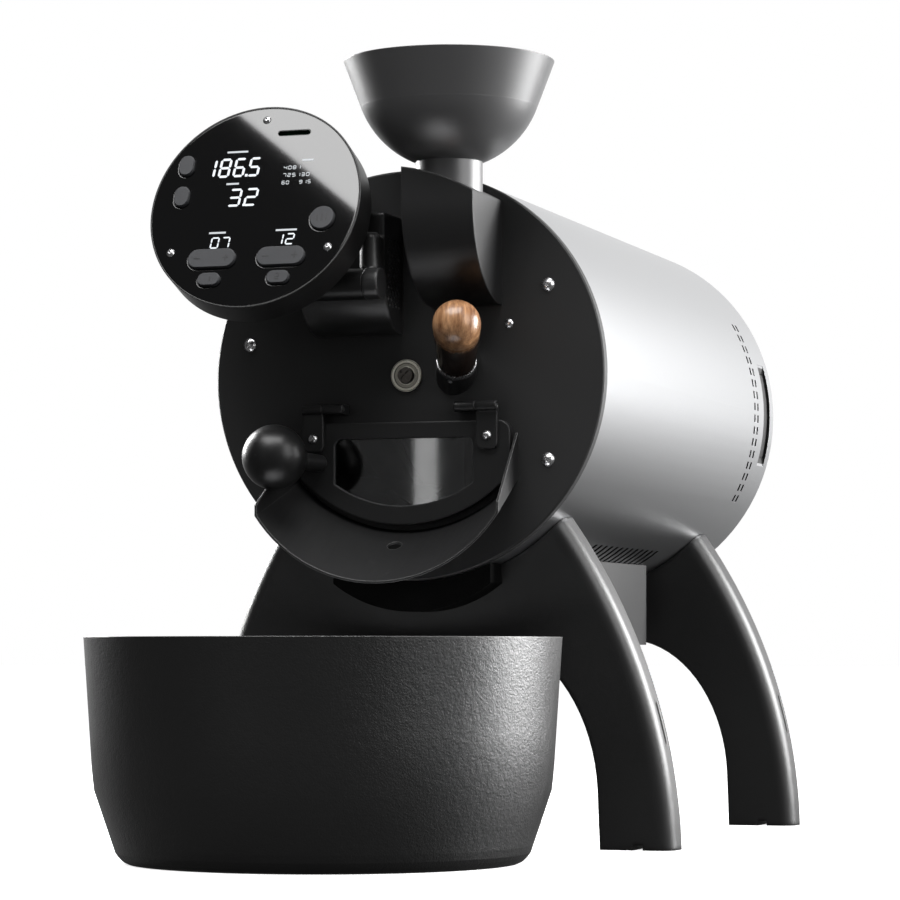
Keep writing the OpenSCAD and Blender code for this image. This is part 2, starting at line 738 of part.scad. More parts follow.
module panel_screws() color("#cfcfd2") on_barrel() on_panel() at_panel_screws()
    rotate([-90, 0, 0]) button_screw(3, 1.8, 1.5, 16);

module panel_board() color("#1f4a35") on_barrel() on_panel() translate([0, 0, -board_z - board_t])
    difference() {
        cylinder(r = panel_r - panel_wall - fit_gap, h = board_t);
        at_panel_screws() translate([0, 0, -cut]) cylinder(r = 1.7, h = board_t + 2 * cut, $fn = small_fn);
    }

// A key: a pill that stands out of the glass, with a flange behind it
module key(at, size) color("#5b5e66") on_barrel() on_panel() translate(at) {
    translate([0, 0, -flange_z - eps]) linear_extrude(flange_z + key_proud - 0.7) pill(size);
    translate([0, 0, key_proud - 0.8]) linear_extrude(0.8) pill(size - [0.8, 0.8]);
    translate([0, 0, -flange_z - flange_t])
        linear_extrude(flange_t) pill(size + 2 * [flange_lip, flange_lip]);
}
module upper_key() key(upper_key_at, side_key);
module lower_key() key(lower_key_at, side_key);
module heat_key() key(heat_key_at, rocker_key);
module fan_key() key(fan_key_at, rocker_key);
module left_key() key(left_key_at, low_key);
module right_key() key(right_key_at, low_key);
module round_key() key(round_key_at, round_key_size);

// ---- barrel ----

vent_pitch = 3.83; // degrees between two vents
vent_rows = 16;
vent_size = [4.4, 5.8];
vent_back = [62, 52]; // distance of the two vent columns from the rear edge
grip_y = [rear_y - 32.5, rear_y - 11.5];
grip_half = 16.6; // degrees that a grip slot reaches above and below the level
belly_pitch = 14;
belly_first = 172;
belly_last = rear_y - box_back - 20;
belly_size = [6, 24];
belly_angle = 57.5;

// A cutter through the shell at an angle from +X: its size along Y and round the barrel
module shell_cut(angle, y, size) rotate([0, -angle, 0])
    translate([shell_r - 4, y - size.x / 2, -size.y / 2]) cube([barrel_t + 8, size.x, size.y]);

module barrel_shell() color("#c8c9cb") on_barrel() difference() {
    bar_y(barrel_r, plate_t, rear_y);
    bar_y(shell_r, plate_t - cut, rear_y + cut);
    both_sides() {
        for (row = [0:vent_rows - 1], back = vent_back)
            shell_cut((row - (vent_rows - 1) / 2) * vent_pitch, rear_y - back, vent_size);
        shell_cut(0, (grip_y[0] + grip_y[1]) / 2, [grip_y[1] - grip_y[0], 2 * barrel_r * sin(grip_half)]);
        for (y = [belly_first:belly_pitch:belly_last]) shell_cut(-belly_angle, y, belly_size);
    }
}

// ---- under the barrel ----

module power_box() color("#3a3a3d") on_barrel() difference() {
    rounded_box(0);
    bar_y(leg_seat_r, 0, rear_y);
    difference() {
        rounded_box(box_wall);
        bar_y(leg_seat_r + box_wall, 0, rear_y);
        leg_front_space(leg_d + fit_gap + box_wall);
    }
    leg_front_space(leg_d + fit_gap);
}
// All that lies in front of a plane along the front leg's lean
module leg_front_space(y) translate([0, 0, -axis_h]) on_leg(front_leg_y)
    translate([-barrel_r, y - 2 * barrel_r, 0]) cube([2 * barrel_r, 2 * barrel_r, axis_h]);

// A box with rounded upright corners from the front leg to behind its middle
module rounded_box(inset) {
    y0 = front_leg_y - leg_d;
    y1 = rear_y - box_back - inset;
    w = box_half_w - inset;
    r = 13 - inset;
    translate([0, 0, inset - box_drop]) linear_extrude(box_drop - inset) {
        translate([-w, y0]) square([2 * w, y1 - y0 - r]);
        translate([r - w, y0]) square([2 * (w - r), y1 - y0]);
        for (s = [-1, 1]) translate([s * (w - r), y1 - r]) circle(r, $fn = small_fn);
    }
}

// Short cover for the coil's leads, between the plate and the front leg
module coil_cover() color("#0e0e0f") on_barrel() {
    keel_half = 57;
    keel_rise = 19.5;
    r = (keel_half * keel_half + keel_rise * keel_rise) / (2 * keel_rise);
    intersection() {
        slab(plate_t + 0.5, front_leg_y) difference() {
            intersection() {
                translate([0, r - keel_drop]) circle(r);
                translate([-keel_half, -keel_drop]) square([2 * keel_half, keel_drop]);
            }
            circle(leg_seat_r);
        }
        leg_front_space(-fit_gap);
    }
}

// ---- legs ----

// Points on the arch's opening: a level crown, elliptic shoulders, upright below
function arch_point(t) = [arch_flat + (arch_x - arch_flat) * sin(t),
                          foot_straight + (crown_h - foot_straight) * cos(t)];
module arch_half() polygon(concat([[0, -leg_d], [0, crown_h]],
    [for (i = [0:arch_steps]) arch_point(90 * i / arch_steps)], [[arch_x, -leg_d]]));

// A disc on the table line whose rim is the leg's outside, with soft edges
module leg_disc() translate([foot_x - leg_arc_r, 0, 0]) turned() {
    square([leg_arc_r - leg_edge_r, leg_d]);
    translate([0, leg_edge_r]) square([leg_arc_r, leg_d - 2 * leg_edge_r]);
    for (y = [leg_edge_r, leg_d - leg_edge_r])
        translate([leg_arc_r - leg_edge_r, y]) circle(leg_edge_r, $fn = small_fn);
}

// Moves a child from a leg's leaning frame to its place: its feet start at y
module on_leg(y) translate([0, y, 0]) rotate([leg_lean, 0, 0]) children();

module leg(y) color("#2a2a2c") translate([0, plate_y, 0]) difference() {
    on_leg(y) difference() {
        intersection() {
            leg_disc($fn = 180);
            mirror([1, 0, 0]) leg_disc($fn = 180);
            translate([-foot_x - cut, -cut, -leg_d / 2])
                cube([2 * foot_x + 2 * cut, leg_d + 2 * cut, axis_h + leg_d / 2]);
        }
        slab(-cut, leg_d + cut) { arch_half(); mirror([1, 0, 0]) arch_half(); }
        both_sides() leg_slot();
    }
    translate([0, 0, axis_h]) bar_y(leg_seat_r, 0, rear_y);
    // flat feet, with a cable notch under each
    translate([-foot_x - cut, y - leg_d, -leg_d]) cube([2 * foot_x + 2 * cut, 3 * leg_d, leg_d]);
    both_sides() translate([142.5, y - leg_d, -cut]) cube([7, 3 * leg_d, 3.7 + cut]);
}
leg_slot_h = [71, 101];
module leg_slot() {
    mid = (leg_slot_h[0] + leg_slot_h[1]) / 2;
    lean = asin(mid / leg_arc_r);
    translate([foot_x - leg_arc_r, 0, 0]) rotate([0, -lean, 0])
        translate([leg_arc_r - 3, leg_d / 2, 0]) rotate([0, 90, 0])
            linear_extrude(6) pill([leg_slot_h[1] - leg_slot_h[0], 3]);
}
module front_leg() leg(front_leg_y);
module rear_leg() leg(rear_leg_y);

// ---- drum and drive ----

module insulation_sleeve() color("#d9d2bd") on_barrel() difference() {
    bar_y(sleeve_r, plate_t, bulkhead_y);
    bar_y(sleeve_in_r, plate_t - cut, bulkhead_y + cut);
}

// A saddle of nested loops under the sleeve
coil_turns = 5;
coil_wire = 5;
module induction_coil() color("#a5622c") on_barrel() intersection() {
    difference() {
        bar_y(sleeve_r + fit_gap + 5, plate_t, bulkhead_y);
        bar_y(sleeve_r + fit_gap, plate_t, bulkhead_y);
    }
    translate([0, (plate_t + bulkhead_y) / 2, -barrel_r]) linear_extrude(barrel_r) union() {
        for (i = [0:coil_turns - 1]) difference() {
            coil_loop(i, 0);
            coil_loop(i, coil_wire);
        }
        // the lead that joins the loops
        translate([-coil_wire / 2, 45]) square([coil_wire, 2 * coil_turns * coil_wire + 6]);
    }
}
module coil_loop(i, inset) {
    grow = 2 * coil_wire * i - inset;
    pill([60 + 2 * grow, 100 + 2 * grow]);
}

module rear_bulkhead() color("#8d8f92") on_barrel() difference() {
    union() {
        bar_y(spigot_r, bulkhead_y, bulkhead_y + bulkhead_t);
        bar_y(bearing_r + 4, bulkhead_y, bulkhead_y + bulkhead_t + bearing_w);
        for (s = [-1, 1]) translate([motor_offset, 0, 20 * s]) bar_y(4, bulkhead_y, motor_y, $fn = small_fn);
    }
    bar_y(bearing_r + eps, bulkhead_y + bulkhead_t, bulkhead_y + bulkhead_t + bearing_w + cut);
    bar_y(bearing_r - 2, bulkhead_y - cut, bulkhead_y + bulkhead_t + cut);
    for (i = [0:9]) rotate([0, 36 * i + 18, 0])
        translate([52, 0, 0]) bar_y(10, bulkhead_y - cut, bulkhead_y + bulkhead_t + cut, $fn = small_fn);
}
module rear_bearing() bearing(bulkhead_y + bulkhead_t);

module drum_shell() color("#6e6f72") on_barrel() {
    difference() {
        bar_y(drum_r, drum_y, drum_end);
        bar_y(drum_r - drum_t, drum_y - cut, drum_end + cut);
    }
    // rolled lip at the open end
    turned() translate([drum_r - 4, drum_y]) square([3, 1.5]);
}

module drum_vanes() color("#77787b") on_barrel() intersection() {
    for (i = [0:vane_n - 1]) rotate([0, 360 / vane_n * i + 40, 0])
        translate([drum_r - drum_t - vane_h, drum_y + 8, 0]) rotate([0, 18, 0])
            cube([vane_h + 6, drum_l - 20, 2]);
    bar_y(drum_in_r, drum_y, drum_end);
}

// Two spoked discs that carry the drum on its shaft
module spider(y, t) {
    slab(y, y + t) difference() {
        union() {
            circle(12);
            difference() {
                circle(drum_in_r);
                circle(drum_in_r - 5);
            }
            for (i = [0:vane_n - 1]) rotate(360 / vane_n * i) translate([-5, 0]) square([10, drum_in_r - 2]);
        }
        circle(shaft_r);
    }
}
module drum_spiders() color("#77787b") on_barrel() {
    difference() {
        spider(drum_y + 130, 2.5);
        for (i = [0:vane_n - 1]) rotate([0, 360 / vane_n * i + 40, 0])
            translate([drum_r - drum_t - vane_h - 0.3, drum_y + 8, -0.3]) rotate([0, 18, 0])
                cube([vane_h + 8, drum_l - 20, 2.6]);
    }
    spider(drum_end - 3, 3);
}

module drum_shaft() color("#a8a8ab") on_barrel() bar_y(shaft_r, -bearing_proud, belt_y + pulley_w + 2);

module centre_screw() color("#3b3b3d") on_barrel() translate([0, -bearing_proud, 0]) difference() {
    union() {
        bar_y(shaft_r, -fit_gap, 0);
        bar_y(5.2, -3, -fit_gap);
    }
    for (a = [45, 135]) rotate([0, a, 0]) translate([-4.2, -3 - cut, -0.9]) cube([8.4, 1.4 + cut, 1.8]);
}

// A belt pulley with two flanges round the given axis
module pulley(r, bore) difference() {
    union() {
        bar_y(r, belt_y, belt_y + pulley_w);
        for (y = [belt_y, belt_y + pulley_w - 1.2]) bar_y(r + 2, y, y + 1.2);
    }
    bar_y(bore, belt_y - cut, belt_y + pulley_w + cut);
}
module drum_pulley() color("#2f2f31") on_barrel() pulley(big_pulley_r, shaft_r);
module motor_pulley() color("#b9b9bc") on_barrel() translate([motor_offset, 0, 0])
    pulley(small_pulley_r, 3 + run_gap);

motor_y = belt_y + pulley_w + 6;
module drum_motor() color("#55565a") on_barrel() translate([motor_offset, 0, 0]) {
    bar_y(27, motor_y, motor_y + 4);
    bar_y(23, motor_y + 4, motor_y + 58);
    bar_y(3, belt_y, motor_y, $fn = small_fn);
}

// What the belt goes round, grown by its thickness: two discs and the runs between them
module belt_core(grow, y0, y1) {
    r1 = big_pulley_r + fit_gap + grow;
    r2 = small_pulley_r + fit_gap + grow;
    a = acos((r1 - r2) / motor_offset);
    p1 = (r1 - seam) * [cos(a), sin(a)];
    p2 = [motor_offset, 0] + (r2 - seam) * [cos(a), sin(a)];
    bar_y(r1, y0, y1);
    translate([motor_offset, 0, 0]) bar_y(r2, y0, y1);
    slab(y0, y1) polygon([p1, p2, [p2.x, -p2.y], [p1.x, -p1.y]]);
}
module drive_belt() color("#0c0c0c") on_barrel() difference() {
    belt_core(belt_t, belt_y + 2, belt_y + pulley_w - 2);
    belt_core(0, belt_y + 2 - cut, belt_y + pulley_w - 2 + cut);
}

// ---- exhaust and rear end ----

module fan_shroud() color("#1e1e20") on_barrel() {
    difference() {
        bar_y(fan_r + 6, shroud_y, cover_y);
        bar_y(fan_r + 2, shroud_y - cut, cover_y + cut);
    }
    for (i = [0:2]) rotate([0, 120 * i + 30, 0]) translate([19, cover_y - 12, -3]) cube([fan_r - 15, 5, 6]);
    difference() {
        bar_y(20, cover_y - 12, cover_y - 7);
        bar_y(18 + fit_gap, cover_y - 13, cover_y - 6);
    }
}

module fan_motor() color("#444549") on_barrel() {
    bar_y(18, cover_y - 18, cover_y - 1);
    bar_y(2.5, shroud_y + 2, cover_y - 18, $fn = small_fn);
}

// A fan wheel along Y: a hub with pitched blades
module fan_wheel(y, depth, hub_r, r, n, bore) difference() {
    union() {
        bar_y(hub_r, y, y + depth);
        intersection() {
            for (i = [0:n - 1]) rotate([0, 360 / n * i, 0])
                translate([0, y + depth / 2, 0]) rotate([35, 0, 0])
                    translate([hub_r - 3, -depth * 0.62, -1]) cube([r, depth * 1.24, 2]);
            bar_y(r, y + 0.5, y + depth - 0.5);
        }
    }
    bar_y(bore, y - cut, y + depth + cut, $fn = small_fn);
}
module exhaust_fan() color("#26262a") on_barrel() fan_wheel(shroud_y + 2, 12, 17, fan_r, 7, 2.5 + run_gap);

// A cup of pierced sheet in front of the fan catches the chaff
module chaff_filter() color("#9fa1a4") on_barrel() difference() {
    bar_y(fan_r + 5, shroud_y - 46, shroud_y);
    bar_y(fan_r + 4, shroud_y - 45, shroud_y + cut);
    for (i = [0:11], y = [-38, -26, -14]) rotate([0, 30 * i, 0])
        translate([fan_r, shroud_y + y, -3]) cube([10, 7, 6]);
}

cover_slots = 9;
module rear_cover() color("#18181a") on_barrel() difference() {
    union() {
        bar_y(spigot_r, cover_y, cover_y + cover_t);
        difference() {
            bar_y(spigot_r, grip_y[0] - 4, cover_y + eps);
            bar_y(spigot_r - 2.5, grip_y[0] - 5, cover_y + 1);
        }
    }
    // exhaust grille: upright slots in a round field
    for (i = [0:cover_slots - 1]) {
        x = (i - (cover_slots - 1) / 2) * 10;
        h = sqrt(pow(fan_r - 2, 2) - x * x);
        slab(cover_y - cut, cover_y + cover_t + cut) translate([x, 0]) pill([5, 2 * h]);
    }
    slab(cover_y - cut, cover_y + cover_t + cut) {
        translate([-34, -95]) square([28, 21], center = true);
        translate([22, -95]) square([20, 28], center = true);
    }
}

// Three-pin appliance inlet
module power_inlet() color("#101011") on_barrel() translate([-34, 0, -95]) difference() {
    union() {
        slab(cover_y - 18, cover_y + cover_t) square([27.4, 20.4], center = true);
        slab(cover_y + cover_t, cover_y + cover_t + 2) square([34, 26], center = true);
    }
    slab(cover_y - 14, cover_y + cover_t + 3) square([24, 17], center = true);
}

// Rocker of the mains switch, on its own axle in its frame
module power_switch() color("#141416") on_barrel() translate([22, cover_y, -95]) {
    side_slab(-9, 9)
        polygon([[-6, -9], [4, -12.4], [5.6, -12], [3.4, 0], [5.6, 12], [4, 12.4], [-6, 9]]);
    bar_x(2, -9.7, 9.7, $fn = small_fn);
}

// ---- cooling bowl ----

// The bowl's outside as radius and height, drawn in by a wall and carried on above its rim
module bowl_outline(wall, over) {
    r0 = bowl_base_r - wall;
    knee = [bowl_r - bowl_draft - wall, bowl_knee_z];
    edge = 7;
    polygon([[0, wall], [r0 - edge, wall], [r0 - edge * 0.6, wall + edge * 0.2],
             [r0 - edge * 0.2, wall + edge * 0.6], [r0 + 0.6, wall + edge],
             [knee.x - 0.9, knee.y - 8], knee, [knee.x + 0.8, knee.y + 9],
             [bowl_r - wall, bowl_h + over], [0, bowl_h + over]]);
}

module on_bowl() translate([bowl_at.x, plate_y + bowl_at.y, 0]) children();

module cooler_bowl() color("#1e1e20") on_bowl() difference() {
    rotate_extrude($fn = 128) {
        difference() {
            bowl_outline(0, 0);
            bowl_outline(bowl_t, cut);
        }
        // ledge that carries the tray
        translate([bowl_r - bowl_draft - bowl_t - 5, tray_z - 4]) square([5 + bowl_t / 2, 3]);
    }
    // air outlets in the floor
    for (i = [0:11]) rotate(30 * i) translate([60, -4, -cut]) cube([36, 8, bowl_t + 2 * cut]);
}

tray_rings = [24, 42, 60, 78, 96, 114, 132];
tray_r = bowl_r - bowl_draft - bowl_t - 0.6;
module cooler_tray() color("#8b8c90") on_bowl() difference() {
    translate([0, 0, tray_z - 1]) cylinder(r = tray_r, h = 1.5);
    for (r = tray_rings, i = [0:floor(r / 4.5) - 1]) rotate(360 / floor(r / 4.5) * i)
        translate([r - 5, -1.6, tray_z - 2]) cube([10, 3.2, 4]);
}

module cooler_motor() color("#4a4b4f") on_bowl() {
    translate([0, 0, bowl_t]) cylinder(r = 24, h = 20);
    translate([0, 0, bowl_t]) cylinder(r = 3, h = 46, $fn = small_fn);
}

module cooler_fan() color("#242427") on_bowl() translate([0, 0, bowl_t + 24]) rotate([90, 0, 0])
    fan_wheel(0, 20, 20, 78, 7, 3 + run_gap);

front_plate();
plate_screws();
front_bearing();
bean_inlet();
hopper();
tryer_collar();
tryer_ring();
tryer_scoop();
tryer_handle();
hinge_brackets();
hinge_pins();
door_panel();
door_glass();
door_leaves();
door_screws();
knob_stem();
door_knob();
discharge_chute();
panel_bracket();
tilt_tube();
panel_housing();
panel_glass();
panel_screws();
panel_board();
upper_key();
lower_key();
heat_key();
fan_key();
left_key();
right_key();
round_key();
barrel_shell();
rear_cover();
power_inlet();
power_switch();
front_leg();
rear_leg();
power_box();
coil_cover();
insulation_sleeve();
induction_coil();
rear_bulkhead();
rear_bearing();
drum_shell();
drum_vanes();
drum_spiders();
drum_shaft();
centre_screw();
drum_pulley();
drum_motor();
motor_pulley();
drive_belt();
fan_shroud();
fan_motor();
exhaust_fan();
chaff_filter();
cooler_bowl();
cooler_tray();
cooler_motor();
cooler_fan();
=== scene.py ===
"""Looks of the home coffee bean roaster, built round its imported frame.

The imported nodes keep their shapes. Every one gets a procedural finish, and the thin
pieces that the frame leaves out, such as display digits, key marks and inlet pins, are
made here as meshes. Lengths are in metres.
"""

from __future__ import annotations

import json
import logging
import math
from dataclasses import dataclass, field
from enum import Enum

import bpy
import numpy as np
from mathutils import Euler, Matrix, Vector

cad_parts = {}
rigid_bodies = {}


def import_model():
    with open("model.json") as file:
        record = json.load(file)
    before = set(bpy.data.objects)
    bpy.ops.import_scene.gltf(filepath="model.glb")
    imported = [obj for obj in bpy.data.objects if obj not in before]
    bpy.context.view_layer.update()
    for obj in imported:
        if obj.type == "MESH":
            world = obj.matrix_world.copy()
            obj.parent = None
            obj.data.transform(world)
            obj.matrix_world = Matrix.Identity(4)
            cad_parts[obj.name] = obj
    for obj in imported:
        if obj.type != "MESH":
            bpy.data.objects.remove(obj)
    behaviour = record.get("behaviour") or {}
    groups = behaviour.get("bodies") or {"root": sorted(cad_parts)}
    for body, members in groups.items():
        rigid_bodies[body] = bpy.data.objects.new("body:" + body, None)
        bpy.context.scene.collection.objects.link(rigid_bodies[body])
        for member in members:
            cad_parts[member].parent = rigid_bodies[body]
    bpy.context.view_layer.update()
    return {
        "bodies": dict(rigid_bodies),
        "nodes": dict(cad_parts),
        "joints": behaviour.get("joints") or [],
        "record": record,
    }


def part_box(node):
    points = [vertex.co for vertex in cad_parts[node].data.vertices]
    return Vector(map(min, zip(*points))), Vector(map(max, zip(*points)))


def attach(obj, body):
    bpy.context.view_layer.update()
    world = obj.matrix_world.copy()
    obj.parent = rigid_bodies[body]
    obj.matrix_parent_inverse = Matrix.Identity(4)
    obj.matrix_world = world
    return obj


log = logging.getLogger("roaster")

MM = 0.001
NODE_STEP = 220
BARREL_AXIS = (0.0, 0.0, 0.325)
ACROSS_BARREL = (1.0, 0.0, 1.0)
WHITE = (1.0, 1.0, 1.0, 1.0)
Colour = tuple[float, float, float]
Point = tuple[float, float, float]
Span = tuple[float, float]
Array = np.ndarray
Socket = bpy.types.NodeSocket
Node = bpy.types.Node
Inputs = dict[str | int, object]
Outputs = bpy.types.NodeOutputs


# ------------------------------------ meshes


def put_mesh(name: str, vertices: Array, faces: list[tuple[int, ...]]) -> bpy.types.Object:
    """Makes a mesh object whose place is in its vertices.

    Args:
        name: the object's name.
        vertices: corner points, one row of three metres each.
        faces: corner numbers of each face, turning so that it points outwards.

    Returns:
        The object, at the origin and unturned.
    """
    mesh = bpy.data.meshes.new(name)
    mesh.from_pydata(vertices.tolist(), [], faces)
    mesh.update()
    made = bpy.data.objects.new(name, mesh)
    bpy.context.scene.collection.objects.link(made)
    return made


@dataclass(frozen=True)
class Plane3:
    """A flat frame in space: an origin, a right and an up direction and the outward normal."""

    origin: Array
    right: Array
    up: Array

    @property
    def normal(self) -> Array:
        """The direction out of the plane, right cross up."""
        return np.cross(self.right, self.up)

    def points(self, flat: Array, out: float) -> Array:
        """Lifts flat points to space: origin + x right + y up + out normal.

        Args:
            flat: rows of x and y in metres.
            out: height above the plane.

        Returns:
            One row of three metres for each point.
        """
        return self.origin + flat[:, :1] * self.right + flat[:, 1:] * self.up + out * self.normal


def lay_shapes(name: str, plane: Plane3, shapes: list[Array], low: float, high: float) -> bpy.types.Object:
    """Makes thin plates from flat convex outlines that turn to the left.

    Each outline is copied at two heights, its two copies are the plate's faces, and a
    ring of four-sided faces joins them.

    Args:
        name: the object's name.
        plane: where the outlines lie.
        shapes: outlines, each with one row per corner.
        low: height of the plates' backs above the plane.
        high: height of their faces above the plane.

    Returns:
        One object that holds all the plates.
    """
    blocks: list[Array] = []
    faces: list[tuple[int, ...]] = []
    start = 0
    for outline in shapes:
        count = len(outline)
        blocks += [plane.points(outline, low), plane.points(outline, high)]
        ring = np.arange(count)
        after = np.roll(ring, -1)
        sides = np.stack([ring, after, after + count, ring + count], axis=1) + start
        faces.append(tuple((ring[::-1] + start).tolist()))
        faces.append(tuple((ring + count + start).tolist()))
        faces += [tuple(row) for row in sides.tolist()]
        start += 2 * count
    return put_mesh(name, np.concatenate(blocks), faces)


def bar(centre: Span, width: float, height: float) -> Array:
    """A plain rectangle: its centre plus and minus half its sizes.

    Args:
        centre: the middle, in millimetres.
        width: size across in millimetres.
        height: size upwards in millimetres.

    Returns:
        The outline in metres.
    """
    half = np.array([width, height]) / 2
    signs = np.array([[-1, -1], [1, -1], [1, 1], [-1, 1]])
    return (np.array(centre) + signs * half) * MM


# Which of a digit's seven bars are lit: top, upper left, upper right, middle,
# lower left, lower right, bottom
LIT_BARS = {
    "0": "1110111", "1": "0010010", "2": "1011101", "3": "1011011", "4": "0111010",
    "5": "1101011", "6": "1101111", "7": "1010010", "8": "1111111", "9": "1111011",
}


@dataclass(frozen=True)
class Digits:
    """A run of seven-bar digits on the display, in millimetres.

    The slant is the shift to the right for each unit of height, and the weight is a
    bar's width as a share of the height.
    """

    text: str
    left: float
    right: float
    bottom: float
    top: float
    slant: float = 0.09
    weight: float = 0.115
    digit_share: float = 0.78
    gap_share: float = 0.14

    def shapes(self) -> list[Array]:
        """The lit bars' outlines, each a six-cornered bar that leans with the slant.

        Returns:
            One outline for each lit bar, in metres.
        """
        pitch = (self.right - self.left) / len(self.text)
        bar_w = (self.top - self.bottom) * self.weight
        made: list[Array] = []
        for place, mark in enumerate(self.text):
            bars = self.cell(self.left + place * pitch, pitch * self.digit_share, bar_w)
            made += [self.lean(b) for b, lit in zip(bars, LIT_BARS[mark]) if lit == "1"]
        return made

    def cell(self, x: float, width: float, bar_w: float) -> list[Array]:
        """All seven bars of one digit.

        Args:
            x: the digit's left side.
            width: the digit's width.
            bar_w: width of a bar.

        Returns:
            Seven outlines in the order of LIT_BARS.
        """
        half, gap = bar_w / 2, bar_w * self.gap_share
        low, high = self.bottom + half, self.top - half
        mid = (low + high) / 2
        left, right = x + half, x + width - half
        ends = [((left, high), (right, high)), ((left, mid), (left, high)), ((right, mid), (right, high)),
                ((left, mid), (right, mid)), ((left, low), (left, mid)), ((right, low), (right, mid)),
                ((left, low), (right, low))]
        return [self.pointed(np.array(a), np.array(b), half, gap) for a, b in ends]

    @staticmethod
    def pointed(a: Array, b: Array, half: float, gap: float) -> Array:
        """A bar from a to b with pointed ends, shortened by a gap at each end.

        Args:
            a: the middle of the bar's start.
            b: the middle of its end.
            half: half the bar's width.
            gap: what is left free at each end.

        Returns:
            Its six corners in metres, turning to the left.
        """
        along = (b - a) / np.linalg.norm(b - a)
        side = np.array([-along[1], along[0]]) * half
        start, stop = a + along * gap, b - along * gap
        inner = along * half
        rows = [start, start + inner - side, stop - inner - side,
                stop, stop - inner + side, start + inner + side]
        return np.array(rows) * MM

    def lean(self, outline: Array) -> Array:
        """Slants an outline to the right: x grows by slant times the height above the bottom."""
        shift = (outline[:, 1] - self.bottom * MM) * self.slant
        return np.stack([outline[:, 0] + shift, outline[:, 1]], axis=1)


# ------------------------------------ node trees


class Tree:
    """A thin writer for one shader node tree."""

    def __init__(self, tree: bpy.types.NodeTree) -> None:
        """Takes the tree to write in, and empties it."""
        self.tree = tree
        tree.nodes.clear()

    def add(self, kind: str, inputs: Inputs | None = None, **settings: object) -> Node:
        """Adds a node.

        Args:
            kind: the node's type without its ShaderNode prefix.
            inputs: what goes into it, by each input's name or number: a socket or a plain value.
            settings: properties of the node to set.

        Returns:
            The new node.
        """
        prefix = "" if kind.startswith("Node") else "ShaderNode"
        made = self.tree.nodes.new(prefix + kind)
        made.location = (NODE_STEP * len(self.tree.nodes), 0)
        for key, value in settings.items():
            setattr(made, key, value)
        for key, value in (inputs or {}).items():
            if isinstance(value, Socket):
                self.tree.links.new(value, made.inputs[key])
            else:
                made.inputs[key].default_value = value
        return made

    def math(self, operation: str, *numbers: object) -> Socket:
        """The result of a named operation on numbers or their sockets."""
        return self.add("Math", dict(enumerate(numbers)), operation=operation).outputs[0]

    def vector(self, operation: str, *vectors: Socket) -> Socket:
        """The result of a named operation on vectors, a number for a length or a dot product."""
        made = self.add("VectorMath", dict(enumerate(vectors)), operation=operation)
        return made.outputs["Value" if operation in ("LENGTH", "DOT_PRODUCT") else "Vector"]

    def fit(self, value: object, low: float, high: float, to_low: float = 0, to_high: float = 1) -> Socket:
        """Maps a value from low and high to to_low and to_high, and stops at its ends."""
        return self.add("MapRange", dict(enumerate((value, low, high, to_low, to_high)))).outputs[0]

    def blend(self, amount: object, *colours: object) -> Socket:
        """Mixes two colours or their sockets, from 0 for the first to 1 for the second."""
        first, second = ((*c, 1.0) if isinstance(c, tuple) else c for c in colours)
        return self.add("Mix", {0: amount, 6: first, 7: second}, data_type="RGBA").outputs[2]

    def noise(self, where: Socket, scale: object, detail: float = 2.0, rough: float = 0.5) -> Socket:
        """Smooth noise from 0 to 1: its waves to the metre, its finer layers and how strong those are."""
        made = self.add("TexNoise", {"Vector": where, "Scale": scale, "Detail": detail, "Roughness": rough})
        return made.outputs[0]

    def here(self) -> Socket:
        """The place on the object, in metres."""
        return self.add("TexCoord").outputs["Object"]

    def bump(self, height: Socket, depth: float, base: Socket | None = None) -> Socket:
        """A normal that follows a height of 0 to 1, depth metres tall, over the mesh's or another normal."""
        under = {"Normal": base} if base else {}
        return self.add("Bump", {"Distance": depth, "Height": height, **under}).outputs[0]

    def facing(self, way: Socket) -> Socket:
        """How far the mesh's own normal turns to a unit vector: 1 along it and 0 across it."""
        return self.vector("DOT_PRODUCT", way, self.add("NewGeometry").outputs["True Normal"])

    def from_axis(self, axis: Point, across: Point) -> Socket:
        """The shortest way from a line to the place on the object: the place times across, less axis.

        Args:
            axis: a point on the line, with 0 along it.
            across: 1 in the directions across the line and 0 along it.

        Returns:
            The vector's socket.
        """
        inputs = {"Vector": self.here(), "Location": tuple(-part for part in axis), "Scale": across}
        return self.add("Mapping", inputs).outputs[0]

    def split(self, vector: Socket, part: str) -> Socket:
        """One part, X, Y or Z, of a vector."""
        return self.add("SeparateXYZ", {0: vector}).outputs[part]


# How alike the rounded and the true normal are where the edge mask starts, and where it is full; powder coats
# paint a highlight with this mask
EDGE_STARTS_AND_FULL = (0.96, 0.75)


class Shared(Enum):
    """Effects that several finishes use, each a node group."""

    COAT_TEXTURE = "coat_texture"
    EDGE_ROUNDING = "broken_edge"
    HANDLING = "handling"


SWELL_SCALE = 0.28
GRAIN_SHARES = (0.6, 0.4)
GRAIN_LAYERS = (3.0, 0.6)
HAND_LAYERS = (4.0, 0.55)
HAND_LEVELS = (0.35, 0.7)


def coat_texture(tree: Tree, inside: Outputs) -> Inputs:
    """Powder coat: fine grain on top of a softer, larger swell.

    Args:
        tree: the group's nodes.
        inside: what comes into it; Grain is the fine grain's waves to the metre.

    Returns:
        The height for a bump and the fine grain for a tone.
    """
    where = tree.here()
    fine = tree.noise(where, inside["Grain"], *GRAIN_LAYERS)
    swell = tree.noise(where, tree.math("MULTIPLY", inside["Grain"], SWELL_SCALE), 1.0)
    layers = [tree.math("MULTIPLY", layer, share) for layer, share in zip((fine, swell), GRAIN_SHARES)]
    return {"Height": tree.math("ADD", *layers), "Tone": fine}


